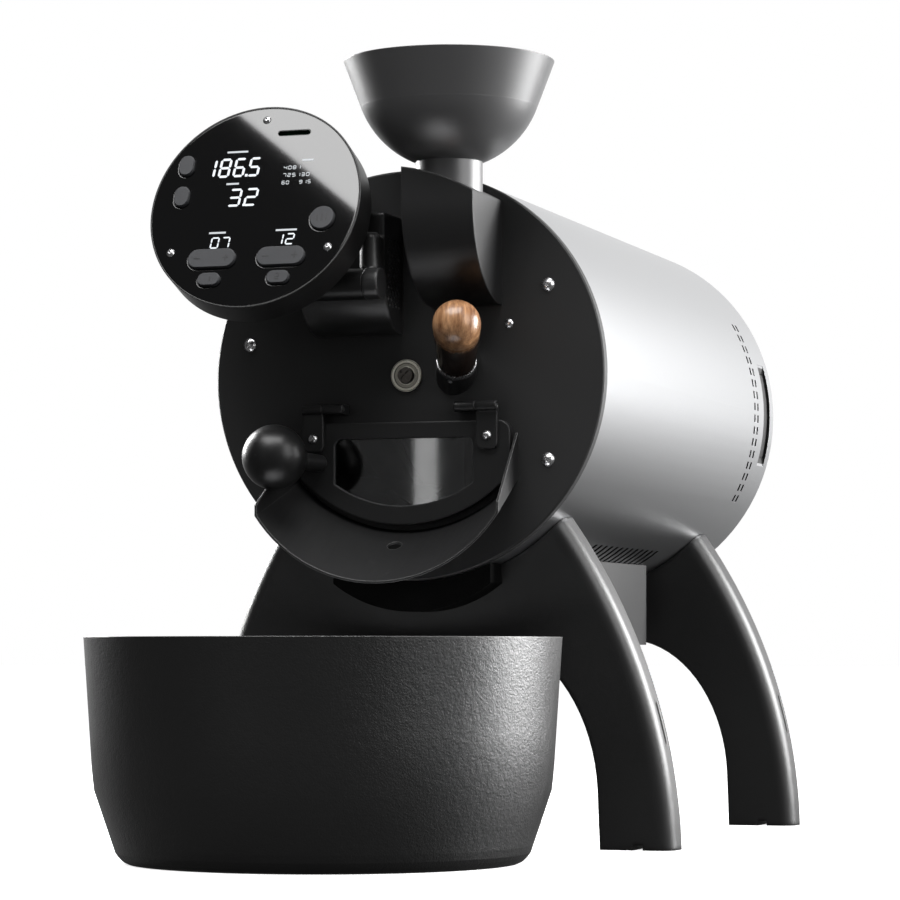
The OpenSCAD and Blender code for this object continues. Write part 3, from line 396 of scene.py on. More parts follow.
def broken_edge(tree: Tree, inside: Outputs) -> Inputs:
    """A rounded normal, and a mask along the edges where it leaves the true one.

    Args:
        tree: the group's nodes.
        inside: what comes into it; Width is the edge's radius in metres.

    Returns:
        The mask and the normal.
    """
    rounded = tree.add("Bevel", {"Radius": inside["Width"]}, samples=6).outputs[0]
    return {"Edge": tree.fit(tree.facing(rounded), *EDGE_STARTS_AND_FULL), "Rounded": rounded}


def handling(tree: Tree, inside: Outputs) -> Inputs:
    """Large soft patches, so many to the metre, where hands and cloths have changed the gloss."""
    return {"Mask": tree.fit(tree.noise(tree.here(), inside["Patches"], *HAND_LAYERS), *HAND_LEVELS)}


# What writes each effect, its inputs with their usual values, and the kinds of its outputs
MAKERS = {
    Shared.COAT_TEXTURE: (coat_texture, {"Grain": 900.0}, {"Height": "Float", "Tone": "Float"}),
    Shared.EDGE_ROUNDING: (broken_edge, {"Width": 0.0006}, {"Edge": "Float", "Rounded": "Vector"}),
    Shared.HANDLING: (handling, {"Patches": 9.0}, {"Mask": "Float"}),
}


def shared(effect: Shared) -> bpy.types.NodeTree:
    """The node group of an effect, made when it is first asked for.

    Args:
        effect: which one.

    Returns:
        The group.
    """
    made = bpy.data.node_groups.get(effect.value)
    if made:
        return made
    maker, inputs, outputs = MAKERS[effect]
    made = bpy.data.node_groups.new(effect.value, "ShaderNodeTree")
    for name, value in inputs.items():
        socket = made.interface.new_socket(name, in_out="INPUT", socket_type="NodeSocketFloat")
        socket.default_value = value
    for name, kind in outputs.items():
        made.interface.new_socket(name, in_out="OUTPUT", socket_type="NodeSocket" + kind)
    tree = Tree(made)
    tree.add("NodeGroupOutput", maker(tree, tree.add("NodeGroupInput").outputs))
    return made


def place_group(tree: Tree, effect: Shared, inputs: Inputs) -> Outputs:
    """Puts a shared effect into a material with that material's own values."""
    return tree.add("Group", inputs, node_tree=shared(effect)).outputs


def shade(colour: tuple[float, ...], share: float) -> tuple[float, ...]:
    """Each part of a colour, or of another row of numbers, times a share."""
    return tuple(part * share for part in colour)


# ------------------------------------ finishes


@dataclass(frozen=True)
class Finish:
    """A named finish that builds its material once.

    In every finish a grain or scale is waves to the metre, layers are a noise's finer
    layers and their strength, levels are the noise values between which an effect
    grows, a share multiplies a colour or value, and depths and edges are metres.
    """

    name: str

    def material(self) -> bpy.types.Material:
        """The finish's material, made when it is first asked for.

        Its name ends so that it never meets one of the frame's own plain materials.

        Returns:
            The material.
        """
        made = bpy.data.materials.get(self.name + "_finish")
        if made is None:
            made = bpy.data.materials.new(self.name + "_finish")
            made.use_nodes = True
            tree = Tree(made.node_tree)
            shader = tree.add("BsdfPrincipled", self.paint(tree))
            tree.add("OutputMaterial", {"Surface": shader.outputs[0]})
        return made

    def paint(self, tree: Tree) -> Inputs:
        """Writes the nodes before the shader, and gives the shader's inputs."""
        raise NotImplementedError


@dataclass(frozen=True)
class PowderCoat(Finish):
    """Baked powder on metal: fine grain, gloss patches and a painted highlight along its edges.

    Grain is waves to the metre, depth and edge_width are metres, edge and tone are
    shares, and gloss is the shader's specular level.
    """

    colour: Colour
    rough: float = 0.45
    grain: float = 900.0
    depth: float = 0.00006
    # A painted highlight along the edges: its colour and its share
    edge_highlight_colour: Colour = (0.22, 0.22, 0.23)
    edge: float = 0.5
    edge_width: float = 0.0006
    tone: float = 0.12
    gloss: float = 0.5
    patches: float = 9.0
    handled: Span = (-0.03, 0.04)

    def paint(self, tree: Tree) -> Inputs:
        """Grain moves the normal, the tone and the roughness; the edges get a painted highlight.

        Args:
            tree: the material's nodes.

        Returns:
            The shader's inputs.
        """
        coat = place_group(tree, Shared.COAT_TEXTURE, {"Grain": self.grain})
        rounded_edge = place_group(tree, Shared.EDGE_ROUNDING, {"Width": self.edge_width})
        hands = place_group(tree, Shared.HANDLING, {"Patches": self.patches})
        tones = [shade(self.colour, 1 + change) for change in (-self.tone, self.tone)]
        # The edge mask paints a highlight into the colour
        mask = tree.math("MULTIPLY", rounded_edge["Edge"], self.edge)
        glosses = [self.rough + change for change in self.handled]
        return {
            "Base Color": tree.blend(mask, tree.blend(coat["Tone"], *tones), self.edge_highlight_colour),
            "Roughness": tree.fit(hands["Mask"], 0.0, 1.0, *glosses),
            "Normal": tree.bump(coat["Height"], self.depth, self.relief(tree, rounded_edge["Rounded"])),
            "Specular IOR Level": self.gloss,
        }

    def relief(self, tree: Tree, rounded: Socket) -> Socket:
        """The normal under the grain: the rounded one, unless the piece has a shape of its own."""
        return rounded


@dataclass(frozen=True)
class BowlCoat(PowderCoat):
    """Powder coat on a spun bowl whose wall bends softly at its knee.

    The centre is the bowl's axis. Over the bend's heights the normal's drop goes from
    the first lean to the second. The wall's heights say where this holds, and outer
    how squarely the mesh has to face outwards.
    """

    centre: Span = (-0.012, -0.23375)
    bend: Span = (0.026, 0.086)
    lean: Span = (0.27, 0.066)
    wall: Span = (0.012, 0.1445)
    outer: float = 0.8

    def relief(self, tree: Tree, rounded: Socket) -> Socket:
        """A normal for the outer wall: away from the axis, less a drop that follows the height.

        Args:
            tree: the material's nodes.
            rounded: the normal that stays on the rim, the floor and the inside.

        Returns:
            The normal under the grain.
        """
        outward = tree.vector("NORMALIZE", tree.from_axis((*self.centre, 0.0), (1.0, 1.0, 0.0)))
        height = tree.split(tree.here(), "Z")
        lean = tree.fit(height, *self.bend, *self.lean)
        drop = tree.add("CombineXYZ", {"Z": tree.math("MULTIPLY", lean, -1.0)})
        leaned = tree.vector("ADD", outward, drop.outputs[0])
        outer = tree.math("GREATER_THAN", tree.facing(outward), self.outer)
        above = tree.math("GREATER_THAN", height, self.wall[0])
        below = tree.math("LESS_THAN", height, self.wall[1])
        wall = tree.math("MULTIPLY", outer, tree.math("MULTIPLY", above, below))
        chosen = tree.add("Mix", {0: wall, 4: rounded, 5: leaned}, data_type="VECTOR")
        return tree.vector("NORMALIZE", chosen.outputs[1])


@dataclass(frozen=True)
class Metal(Finish):
    """Bare metal: blasted, brushed or polished."""

    colour: Colour
    rough: float
    grain: float = 1400.0
    depth: float = 0.00002
    stretch: Point = (1.0, 1.0, 1.0)
    tint: Colour | None = None
    tint_scale: float = 14.0
    tint_levels: Span = (0.4, 0.7)
    tint_share: float = 0.8
    dark_share: float = 0.9
    rough_levels: Span = (0.25, 0.75)
    rough_shares: Span = (0.88, 1.12)
    round_edge: float = 0.0004

    def paint(self, tree: Tree) -> Inputs:
        """Grain, stretched along the brushing, moves tone, roughness and normal.

        Args:
            tree: the material's nodes.

        Returns:
            The shader's inputs.
        """
        edge = place_group(tree, Shared.EDGE_ROUNDING, {"Width": self.round_edge})
        where = tree.add("Mapping", {"Vector": tree.here(), "Scale": self.stretch}).outputs[0]
        fine = tree.noise(where, self.grain, *GRAIN_LAYERS)
        base = tree.blend(fine, shade(self.colour, self.dark_share), self.colour)
        if self.tint:
            heat = tree.noise(tree.here(), self.tint_scale, 3.0)
            base = tree.blend(tree.fit(heat, *self.tint_levels, 0.0, self.tint_share), base, self.tint)
        return {
            "Base Color": base,
            "Roughness": tree.fit(fine, *self.rough_levels, *shade(self.rough_shares, self.rough)),
            "Normal": tree.bump(fine, self.depth, edge["Rounded"]),
            "Metallic": 1.0,
        }


@dataclass(frozen=True)
class SheetWithPaintedShade(Metal):
    """A rolled metal sheet with painted shade: its inner side and slots are painted black and not metallic.
    """

    # Painted shade: black inside this radius and where the mesh doesn't face outwards
    painted_shade_radius: float = 0.1393
    painted_shade: Colour = (0.004, 0.004, 0.004)
    outer: float = 0.6

    def paint(self, tree: Tree) -> Inputs:
        """Paints the metal, then paints shade, black and not metallic, on what lies inside the sheet or
        doesn't face outwards.

        Args:
            tree: the material's nodes.

        Returns:
            The shader's inputs.
        """
        metal = super().paint(tree)
        away = tree.from_axis(BARREL_AXIS, ACROSS_BARREL)
        far = tree.math("GREATER_THAN", tree.vector("LENGTH", away), self.painted_shade_radius)
        turned = tree.math("GREATER_THAN", tree.facing(tree.vector("NORMALIZE", away)), self.outer)
        outside = tree.math("MULTIPLY", far, turned)
        # Painted shade replaces the metal inside the sheet and in its slots
        base = tree.blend(outside, self.painted_shade, metal["Base Color"])
        return {**metal, "Base Color": base, "Metallic": outside}


@dataclass(frozen=True)
class RingedBearing(Metal):
    """A shielded ball bearing: pale races, a cream shield, a dark centre, and painted shade in the gap and
    round the outer edge, each out to a radius.
    """

    # Out to each radius: dark centre, pale inner race, cream shield, painted shade in the gap, pale outer
    # race, painted shade at the outer edge
    rings_and_painted_shade: tuple[tuple[float, Colour], ...] = (
        (0.0058, (0.05, 0.05, 0.05)), (0.0064, (0.7, 0.68, 0.6)), (0.0083, (0.42, 0.4, 0.34)),
        (0.0087, (0.06, 0.06, 0.05)), (0.0103, (0.85, 0.82, 0.72)), (0.0107, (0.25, 0.24, 0.2)),
    )

    def paint(self, tree: Tree) -> Inputs:
        """Paints the metal, then gives each ring its colour by its distance from the axis.

        Args:
            tree: the material's nodes.

        Returns:
            The shader's inputs.
        """
        metal = super().paint(tree)
        away = tree.vector("LENGTH", tree.from_axis(BARREL_AXIS, ACROSS_BARREL))
        for radius, ring in reversed(self.rings_and_painted_shade):
            inside = tree.math("LESS_THAN", away, radius)
            metal["Base Color"] = tree.blend(inside, metal["Base Color"], ring)
        return metal


@dataclass(frozen=True)
class Plastic(Finish):
    """Moulded plastic or rubber with a faint spark-eroded grain."""

    colour: Colour
    rough: float
    grain: float = 1100.0
    depth: float = 0.00002
    sheen: float = 0.0
    round_edge: float = 0.0008
    patches: float = 16.0
    dark_share: float = 0.88
    rough_shares: Span = (0.92, 1.1)

    def paint(self, tree: Tree) -> Inputs:
        """A fine grain with larger, softer patches of gloss, on rounded edges.

        Args:
            tree: the material's nodes.

        Returns:
            The shader's inputs.
        """
        coat = place_group(tree, Shared.COAT_TEXTURE, {"Grain": self.grain})
        edge = place_group(tree, Shared.EDGE_ROUNDING, {"Width": self.round_edge})
        hands = place_group(tree, Shared.HANDLING, {"Patches": self.patches})
        return {
            "Base Color": tree.blend(coat["Tone"], shade(self.colour, self.dark_share), self.colour),
            "Roughness": tree.fit(hands["Mask"], 0.0, 1.0, *shade(self.rough_shares, self.rough)),
            "Normal": tree.bump(coat["Height"], self.depth, edge["Rounded"]),
            "Sheen Weight": self.sheen,
        }


@dataclass(frozen=True)
class PanelFace(Finish):
    """Deep black glossy face with the faintest dust and a lit rim where its edge is rounded."""

    colour: Colour = (0.0012, 0.0012, 0.0014)
    rough: float = 0.03
    dust: Colour = (0.04, 0.04, 0.04)
    dust_scale: float = 700.0
    dust_layers: Span = (3.0, 0.7)
    dust_levels: Span = (0.68, 0.82)
    dust_share: float = 0.15
    dust_rough: float = 0.08
    round_edge: float = 0.0012
    gloss: float = 0.9

    def paint(self, tree: Tree) -> Inputs:
        """Dust raises the roughness in specks; the colour stays nearly black.

        Args:
            tree: the material's nodes.

        Returns:
            The shader's inputs.
        """
        dust = tree.fit(tree.noise(tree.here(), self.dust_scale, *self.dust_layers), *self.dust_levels)
        edge = place_group(tree, Shared.EDGE_ROUNDING, {"Width": self.round_edge})
        return {
            "Base Color": tree.blend(tree.math("MULTIPLY", dust, self.dust_share), self.colour, self.dust),
            "Roughness": tree.fit(dust, 0.0, 1.0, self.rough, self.rough + self.dust_rough),
            "Normal": edge["Rounded"],
            "Specular IOR Level": self.gloss,
        }


@dataclass(frozen=True)
class ClearGlass(Finish):
    """Heat-proof window glass with a breath of smoke film."""

    film: Colour = (0.2, 0.203, 0.207)
    clear: Colour = (0.26, 0.263, 0.267)
    smear_scale: float = 24.0
    smear_layers: Span = (4.0, 0.6)
    film_levels: Span = (0.4, 0.75)
    rough_levels: Span = (0.35, 0.8)
    rough: Span = (0.02, 0.035)
    bending: float = 1.6

    def paint(self, tree: Tree) -> Inputs:
        """Soft smears change the gloss and the tint a little.

        Args:
            tree: the material's nodes.

        Returns:
            The shader's inputs.
        """
        smears = tree.noise(tree.here(), self.smear_scale, *self.smear_layers)
        return {
            "Base Color": tree.blend(tree.fit(smears, *self.film_levels), self.clear, self.film),
            "Roughness": tree.fit(smears, *self.rough_levels, *self.rough),
            "Transmission Weight": 1.0,
            "IOR": self.bending,
        }


@dataclass(frozen=True)
class Lit(Finish):
    """A display's lit bar."""

    colour: Colour
    strength: float
    unlit: Colour = (0.02, 0.02, 0.02)
    grain: float = 500.0
    dim_share: float = 0.9

    def paint(self, tree: Tree) -> Inputs:
        """A slightly uneven glow, brighter in the middle of its grain.

        Args:
            tree: the material's nodes.

        Returns:
            The shader's inputs.
        """
        uneven = tree.noise(tree.here(), self.grain, 1.0)
        return {
            "Base Color": (*self.unlit, 1.0),
            "Emission Color": tree.blend(uneven, shade(self.colour, self.dim_share), self.colour),
            "Emission Strength": self.strength,
        }


@dataclass(frozen=True)
class OiledWood(Finish):
    """Turned walnut: grain streaks across the handle and a darker, glossier foot.

    Centre and turn put the pattern on the handle's axis, and the ends are the heights
    along it, in metres, where the foot is fully dark and where it has gone.
    """

    centre: Point
    turn: Point
    dark_end: float
    light_end: float
    light: Colour = (0.6, 0.33, 0.165)
    dark: Colour = (0.2, 0.085, 0.035)
    foot: Colour = (0.018, 0.01, 0.007)
    pore: Colour = (0.05, 0.02, 0.01)
    rough: Span = (0.33, 0.2)
    grain_depth: float = 0.00012
    stretch: Point = (1.0, 0.09, 0.5)
    streak_scale: float = 420.0
    streak_layers: Span = (5.0, 0.62)
    streak_share: float = 0.65
    broad_scale: float = 110.0
    broad_share: float = 0.35
    tone_levels: Span = (0.38, 0.62)
    pore_scale: float = 1500.0
    pore_levels: Span = (0.6, 0.72)
    pore_share: float = 0.45
    oil: float = 0.35
    oil_rough: float = 0.18

    def paint(self, tree: Tree) -> Inputs:
        """Stretched noise makes streaks and pores, and height along the axis darkens the foot.

        Args:
            tree: the material's nodes.

        Returns:
            The shader's inputs.
        """
        placed = {"Vector": tree.here(), "Location": self.centre, "Rotation": self.turn}
        local = tree.add("Mapping", placed, vector_type="TEXTURE").outputs[0]
        along = tree.add("Mapping", {"Vector": local, "Scale": self.stretch}).outputs[0]
        streaks = tree.noise(along, self.streak_scale, *self.streak_layers)
        broad = tree.math("MULTIPLY", tree.noise(along, self.broad_scale), self.broad_share)
        tone = tree.math("ADD", tree.math("MULTIPLY", streaks, self.streak_share), broad)
        pores = tree.fit(tree.noise(along, self.pore_scale), *self.pore_levels)
        wood = tree.blend(tree.fit(tone, *self.tone_levels), self.dark, self.light)
        wood = tree.blend(tree.math("MULTIPLY", pores, self.pore_share), wood, self.pore)
        lift = tree.fit(tree.split(local, "Z"), self.dark_end, self.light_end, 1.0, 0.0)
        return {
            "Base Color": tree.blend(lift, wood, self.foot),
            "Roughness": tree.fit(lift, 0.0, 1.0, *self.rough),
            "Normal": tree.bump(tone, self.grain_depth),
            "Coat Weight": self.oil,
            "Coat Roughness": self.oil_rough,
        }


@dataclass(frozen=True)
class FibreBlanket(Finish):
    """Pale ceramic fibre with crossing strands."""

    colour: Colour = (0.62, 0.57, 0.47)
    rough: float = 0.95
    fluff: float = 0.0006
    strand_scale: float = 500.0
    strand_layers: Span = (6.0, 0.7)
    tuft_scale: float = 60.0
    tone_levels: Span = (0.15, 0.4)
    dark_share: float = 0.6

    def paint(self, tree: Tree) -> Inputs:
        """Fine strands times broad tufts make a felted surface.

        Args:
            tree: the material's nodes.

        Returns:
            The shader's inputs.
        """
        strands = tree.noise(tree.here(), self.strand_scale, *self.strand_layers)
        tone = tree.math("MULTIPLY", strands, tree.noise(tree.here(), self.tuft_scale, 3.0))
        dark = shade(self.colour, self.dark_share)
        return {
            "Base Color": tree.blend(tree.fit(tone, *self.tone_levels), dark, self.colour),
            "Roughness": self.rough,
            "Normal": tree.bump(strands, self.fluff),
        }


@dataclass(frozen=True)
class CircuitBoard(Finish):
    """Green solder mask with faint tracks."""

    mask: Colour = (0.012, 0.09, 0.035)
    track: Colour = (0.02, 0.15, 0.06)
    rough: float = 0.35
    cell_scale: float = 160.0
    track_levels: Span = (0.3, 0.34)

    def paint(self, tree: Tree) -> Inputs:
        """The diamonds of a cell pattern stand for the tracks under the mask.

        Args:
            tree: the material's nodes.

        Returns:
            The shader's inputs.
        """
        places = {"Vector": tree.here(), "Scale": self.cell_scale}
        cells = tree.add("TexVoronoi", places, distance="MANHATTAN")
        tracks = tree.fit(cells.outputs["Distance"], *self.track_levels)
        return {"Base Color": tree.blend(tracks, self.mask, self.track), "Roughness": self.rough}


# ------------------------------------ palette


def grey(level: float, blue: float | None = None) -> Colour:
    """A grey, a little bluer where its third part is given."""
    return (level, level, level if blue is None else blue)


# In these coats the edge colour and edge share paint a highlight along the edges
BLACK_COAT = PowderCoat("black_coat", grey(0.0155, 0.016), rough=0.4, edge=0.5,
                        edge_highlight_colour=grey(0.1, 0.102), edge_width=0.0018)
BRACKET_COAT = PowderCoat("bracket_coat", grey(0.02, 0.0205), rough=0.36, edge=0.2, edge_width=0.003,
                          gloss=0.8)
PLATE_COAT = PowderCoat("plate_coat", grey(0.022, 0.0224), rough=0.5, edge=0.3, edge_highlight_colour=grey(0.08, 0.082))
CHUTE_COAT = PowderCoat("chute_coat", grey(0.0165, 0.017), rough=0.42, edge=0.9, edge_highlight_colour=grey(0.3),
                        edge_width=0.0009)
LEG_COAT = PowderCoat("leg_coat", grey(0.009, 0.0093), rough=0.42, grain=1300.0, depth=0.0001,
                      edge=0.25, edge_highlight_colour=grey(0.05), edge_width=0.0045, gloss=1.0)
HOPPER_COAT = PowderCoat("hopper_coat", grey(0.09, 0.092), rough=0.38, grain=1500.0, depth=0.00003, gloss=1.0,
                         edge=0.5, edge_highlight_colour=grey(0.2), edge_width=0.0008)
GREY_COAT = PowderCoat("grey_coat", grey(0.016, 0.0164), rough=0.5, grain=1300.0, edge=0.3,
                       edge_highlight_colour=grey(0.1))
BOWL_COAT = BowlCoat("bowl_coat", grey(0.0052, 0.0054), rough=0.36, grain=760.0, depth=0.00042,
                     edge=0.7, edge_highlight_colour=grey(0.3), edge_width=0.0009, tone=0.2, gloss=1.0)
# The cover below the chute is a real part; its almost lightless dull black is painted shade
SHADE_BLACK_COAT = PowderCoat("keel_coat", grey(0.001), rough=0.75, edge=0.1, edge_highlight_colour=grey(0.01), gloss=0.15)
# Silver outside, with painted shade inside the sheet and in its slots
SILVER = SheetWithPaintedShade("silver_shell", (0.52, 0.525, 0.535), rough=0.31, grain=1700.0, depth=0.00003)
STEEL = Metal("steel", grey(0.5, 0.51), rough=0.32, stretch=(1.0, 0.15, 1.0))
BRIGHT_STEEL = Metal("bright_steel", grey(0.78, 0.79), rough=0.27, grain=900.0, depth=0.000008)
DRUM_STEEL = Metal("drum_steel", (0.2, 0.19, 0.18), rough=0.34, stretch=(1.0, 0.12, 1.0),
                   tint=(0.09, 0.07, 0.05))
BEARING = RingedBearing("bearing_rings", (0.72, 0.69, 0.6), rough=0.3)
COPPER = Metal("copper", (0.62, 0.3, 0.16), rough=0.35)
BLACK_PLASTIC = Plastic("black_plastic", grey(0.012), rough=0.5)
KNOB_PLASTIC = Plastic("knob_plastic", grey(0.008, 0.0082), rough=0.36, grain=1500.0, depth=0.00001)
HOUSING_PLASTIC = Plastic("housing_plastic", grey(0.009, 0.0093), rough=0.4, grain=1500.0, depth=0.00001)
KEY_RUBBER = Plastic("key_rubber", (0.021, 0.0222, 0.0265), rough=0.55, grain=1900.0, sheen=0.1,
                     round_edge=0.0006)
KEY_INK = Plastic("key_ink", grey(0.006, 0.007), rough=0.45, grain=1900.0, round_edge=0.0001)
BELT = Plastic("belt_rubber", grey(0.015), rough=0.8, grain=700.0)
PANEL_FACE = PanelFace("panel_face")
GLASS = ClearGlass("window_glass")
DISPLAY_WHITE = Lit("display_white", (0.9, 0.95, 1.0), 1.1)
DISPLAY_SOFT = Lit("display_soft", (0.78, 0.82, 0.86), 0.85)
FIBRE = FibreBlanket("fibre_blanket")
BOARD = CircuitBoard("circuit_board")


def add_piece(piece: bpy.types.Object, finish: Finish, body: str) -> None:
    """Finishes a new piece and lets it ride on a body.

    Args:
        piece: the new object.
        finish: its finish.
        body: the body that carries it.
    """
    piece.data.materials.append(finish.material())
    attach(piece, body)
    log.info("piece %s on %s", piece.name, body)


# ------------------------------------ sub-assemblies


def middle_of(node: str) -> Array:
    """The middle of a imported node's box, halfway between its two corners."""
    return np.array(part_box(node)).mean(axis=0)


@dataclass
class Assembly:
    """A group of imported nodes, with the thin pieces that are added to them."""

    frame: dict

    def dress(self, finish: Finish, *nodes: str) -> None:
        """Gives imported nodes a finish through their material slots.

        Args:
            finish: the finish.
            nodes: the nodes' names.
        """
        for node in nodes:
            slots = self.frame["nodes"][node].data.materials
            slots.clear()
            slots.append(finish.material())
        log.info("%s: %s", finish.name, ", ".join(nodes))


@dataclass
class Barrel(Assembly):
    """Silver shell, front plate, rear end and what stands under them.

    The inlet's pins have their size across and their places in millimetres, and their
    length and how far in their feet lie in metres.
    """

    pin_size: Span = (2.2, 6.0)
    pin_places: tuple[Span, ...] = ((-6.5, -1.5), (6.5, -1.5), (0.0, 3.0))
    pin_length: float = 0.011
    pin_foot: float = 0.0175

    def build(self) -> None:
        """Dresses the shell, the plate and the legs, and adds the inlet's pins."""
        self.dress(SILVER, "barrel_shell")
        self.dress(PLATE_COAT, "front_plate", "rear_cover")
        self.dress(BLACK_COAT, "bean_inlet", "tryer_collar")
        self.dress(BRACKET_COAT, "panel_bracket")
        self.dress(LEG_COAT, "front_leg", "rear_leg")
        self.dress(GREY_COAT, "power_box")
        self.dress(SHADE_BLACK_COAT, "coil_cover")
        self.dress(BRIGHT_STEEL, "plate_screws")
        self.dress(BEARING, "front_bearing", "rear_bearing")
        self.dress(BLACK_PLASTIC, "power_inlet", "power_switch")
        self.inlet_pins()

    def inlet_pins(self) -> None:
        """Three flat pins that stand in the appliance inlet."""
        x, _, z = middle_of("power_inlet")
        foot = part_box("power_inlet")[1][1] - self.pin_foot
        back = Plane3(np.array([x, foot, z]), np.array([-1.0, 0, 0]), np.array([0, 0, 1.0]))
        shapes = [bar(place, *self.pin_size) for place in self.pin_places]
        pins = lay_shapes("inlet_pins", back, shapes, 0.0, self.pin_length)
        add_piece(pins, BRIGHT_STEEL, "machine")


@dataclass
class DrumDrive(Assembly):
    """Everything that turns or heats inside the barrel."""

    def build(self) -> None:
        """Dresses the inner pieces."""
        self.dress(DRUM_STEEL, "drum_shell", "drum_vanes", "drum_spiders", "centre_screw")
        self.dress(STEEL, "drum_shaft", "rear_bulkhead", "drum_motor", "fan_motor", "chaff_filter",
                   "motor_pulley")
        self.dress(BLACK_PLASTIC, "drum_pulley", "fan_shroud", "exhaust_fan")
        self.dress(BELT, "drive_belt")
        self.dress(FIBRE, "insulation_sleeve")
        self.dress(COPPER, "induction_coil")


@dataclass
class Door(Assembly):
    """Glass door, its hinges, ball knob and the chute round it."""

    def build(self) -> None:
        """Dresses the door and the chute."""
        self.dress(BLACK_COAT, "door_panel", "door_leaves", "hinge_brackets", "knob_stem")
        self.dress(CHUTE_COAT, "discharge_chute")
        self.dress(BRIGHT_STEEL, "door_screws")
        self.dress(STEEL, "hinge_pins")
        self.dress(GLASS, "door_glass")
        self.dress(KNOB_PLASTIC, "door_knob")


@dataclass
class Tryer(Assembly):
    """Sampling scoop with its ring and wooden handle, whose rise and side are degrees."""

    rise: float = 25.0
    side: float = 18.5

    def build(self) -> None:
        """Dresses the scoop and turns the wood's grain to the handle's axis."""
        self.dress(BRIGHT_STEEL, "tryer_ring")
        self.dress(STEEL, "tryer_scoop")
        middle = tuple(middle_of("tryer_handle").tolist())
        turn = Euler((math.radians(90 - self.rise), 0, math.radians(self.side)))
        wood = OiledWood("walnut", middle, tuple(turn), dark_end=0.003, light_end=0.016)
        self.dress(wood, "tryer_handle")


@dataclass
class Hopper(Assembly):
    """Spun bean hopper."""

    def build(self) -> None:
        """Dresses the hopper."""
        self.dress(HOPPER_COAT, "hopper")


@dataclass
class ControlPanel(Assembly):
    """Tilting round panel: housing, glossy face, keys, digits and marks.

    Places on the face are millimetres from its middle, and widths and heights on it
    are millimetres. Lean is the face's angle in degrees. The glass, the marks' lift
    and thickness and how proud the keys stand are metres.
    """

    lean: float = 20.5
    glass: float = 0.003
    mark_lift: float = 0.00002
    mark_thick: float = 0.00012
    key_proud: float = 0.0022
    caption_height: float = 1.3
    sign: Span = (4.4, 0.8)
    sign_tip: Span = (0.8, 1.8)
    sign_row: float = -38.5
    sign_columns: tuple[tuple[str, Span], ...] = (("heat", (-35.5, -14.9)), ("fan", (13.8, 34.4)))
    numbers: tuple[tuple[str, str, float], ...] = (("left", "1", -25.2), ("right", "2", 24.1))
    number_sides: Span = (-1.6, 2.2)
    number_rows: Span = (-56.2, -51.6)
    stroke: Span = (0.9, 5.0)
    strokes: tuple[Span, ...] = ((46.8, -11.4), (50.0, -11.4), (53.2, -11.4))
    readings: list[Digits] = field(default_factory=lambda: [
        Digits("1865", -41.0, 1.5, 22.6, 37.0),
        Digits("32", -20.5, 3.0, 0.4, 13.8),
        Digits("07", -28.5, -13.0, -30.6, -22.2),
        Digits("12", 17.5, 33.0, -29.7, -21.3),
    ])
    small_readings: list[Digits] = field(default_factory=lambda: [
        Digits("4081", 17.0, 30.0, 26.6, 29.4, slant=0.0, weight=0.17),
        Digits("725130", 17.0, 37.0, 21.0, 23.8, slant=0.0, weight=0.17),
        Digits("60", 17.0, 23.0, 15.4, 18.2, slant=0.0, weight=0.17),
        Digits("915", 29.5, 38.5, 15.4, 18.2, slant=0.0, weight=0.17),
    ])
    points: tuple[tuple[Span, float], ...] = (((-9.4, 23.7), 1.9), ((-8.2, 1.4), 1.7))
    captions: tuple[tuple[Span, float], ...] = (
        ((-18, 41.7), 15), ((33.7, 33.2), 8), ((-18.4, 17.6), 9), ((-24.2, -18.9), 12), ((25.2, -18.7), 15),
    )

    def plane(self) -> Plane3:
        """The face's plane: the glass box's middle, moved to the front by half a glass.

        Returns:
            The plane, with its origin in the face's middle.
        """
        a = math.radians(self.lean)
        normal = np.array([0.0, -math.cos(a), math.sin(a)])
        middle = middle_of("panel_glass") + normal * self.glass / 2
        return Plane3(middle, np.array([1.0, 0, 0]), np.array([0.0, math.sin(a), math.cos(a)]))

    def build(self) -> None:
        """Dresses the panel and adds digits, captions' bars and key marks."""
        self.dress(HOUSING_PLASTIC, "panel_housing", "tilt_tube")
        self.dress(PANEL_FACE, "panel_glass")
        self.dress(BRIGHT_STEEL, "panel_screws")
        self.dress(BOARD, "panel_board")
        keys = ("upper_key", "lower_key", "heat_key", "fan_key", "left_key", "right_key", "round_key")
        self.dress(KEY_RUBBER, *keys)
        face = self.plane()
        self.display(face)
        self.key_marks(face)

    def display(self, face: Plane3) -> None:
        """Adds seven-bar digits with their points, and plain bars where a display has captions.

        Args:
            face: the glass's front.
        """
        low, high = self.mark_lift, self.mark_lift + self.mark_thick
        large = [shape for run in self.readings for shape in run.shapes()]
        large += [bar(place, width, width) for place, width in self.points]
        add_piece(lay_shapes("display_digits", face, large, low, high), DISPLAY_WHITE, "panel")
        small = [shape for run in self.small_readings for shape in run.shapes()]
        small += [bar(place, width, self.caption_height) for place, width in self.captions]
        add_piece(lay_shapes("display_small", face, small, low, high), DISPLAY_SOFT, "panel")

    def key_marks(self, face: Plane3) -> None:
        """Adds minus and plus on the rocking keys, and plain marks on the others.

        Args:
            face: the glass's front.
        """
        low = self.key_proud + self.mark_lift
        marks: dict[str, list[Array]] = {}
        for key, columns in self.sign_columns:
            signs = [bar((x, self.sign_row), *self.sign) for x in columns]
            tips = [bar((columns[1], self.sign_row + y), *self.sign_tip) for y in (-1.4, 1.4)]
            marks[key + "_marks"] = signs + tips
        for key, number, x in self.numbers:
            sides = (x + side for side in self.number_sides)
            marks[key + "_mark"] = Digits(number, *sides, *self.number_rows, slant=0.0).shapes()
        marks["round_mark"] = [bar(place, *self.stroke) for place in self.strokes]
        for name, shapes in marks.items():
            piece = lay_shapes(name, face, shapes, low, low + self.mark_thick)
            add_piece(piece, KEY_INK, name.split("_")[0] + "_button")


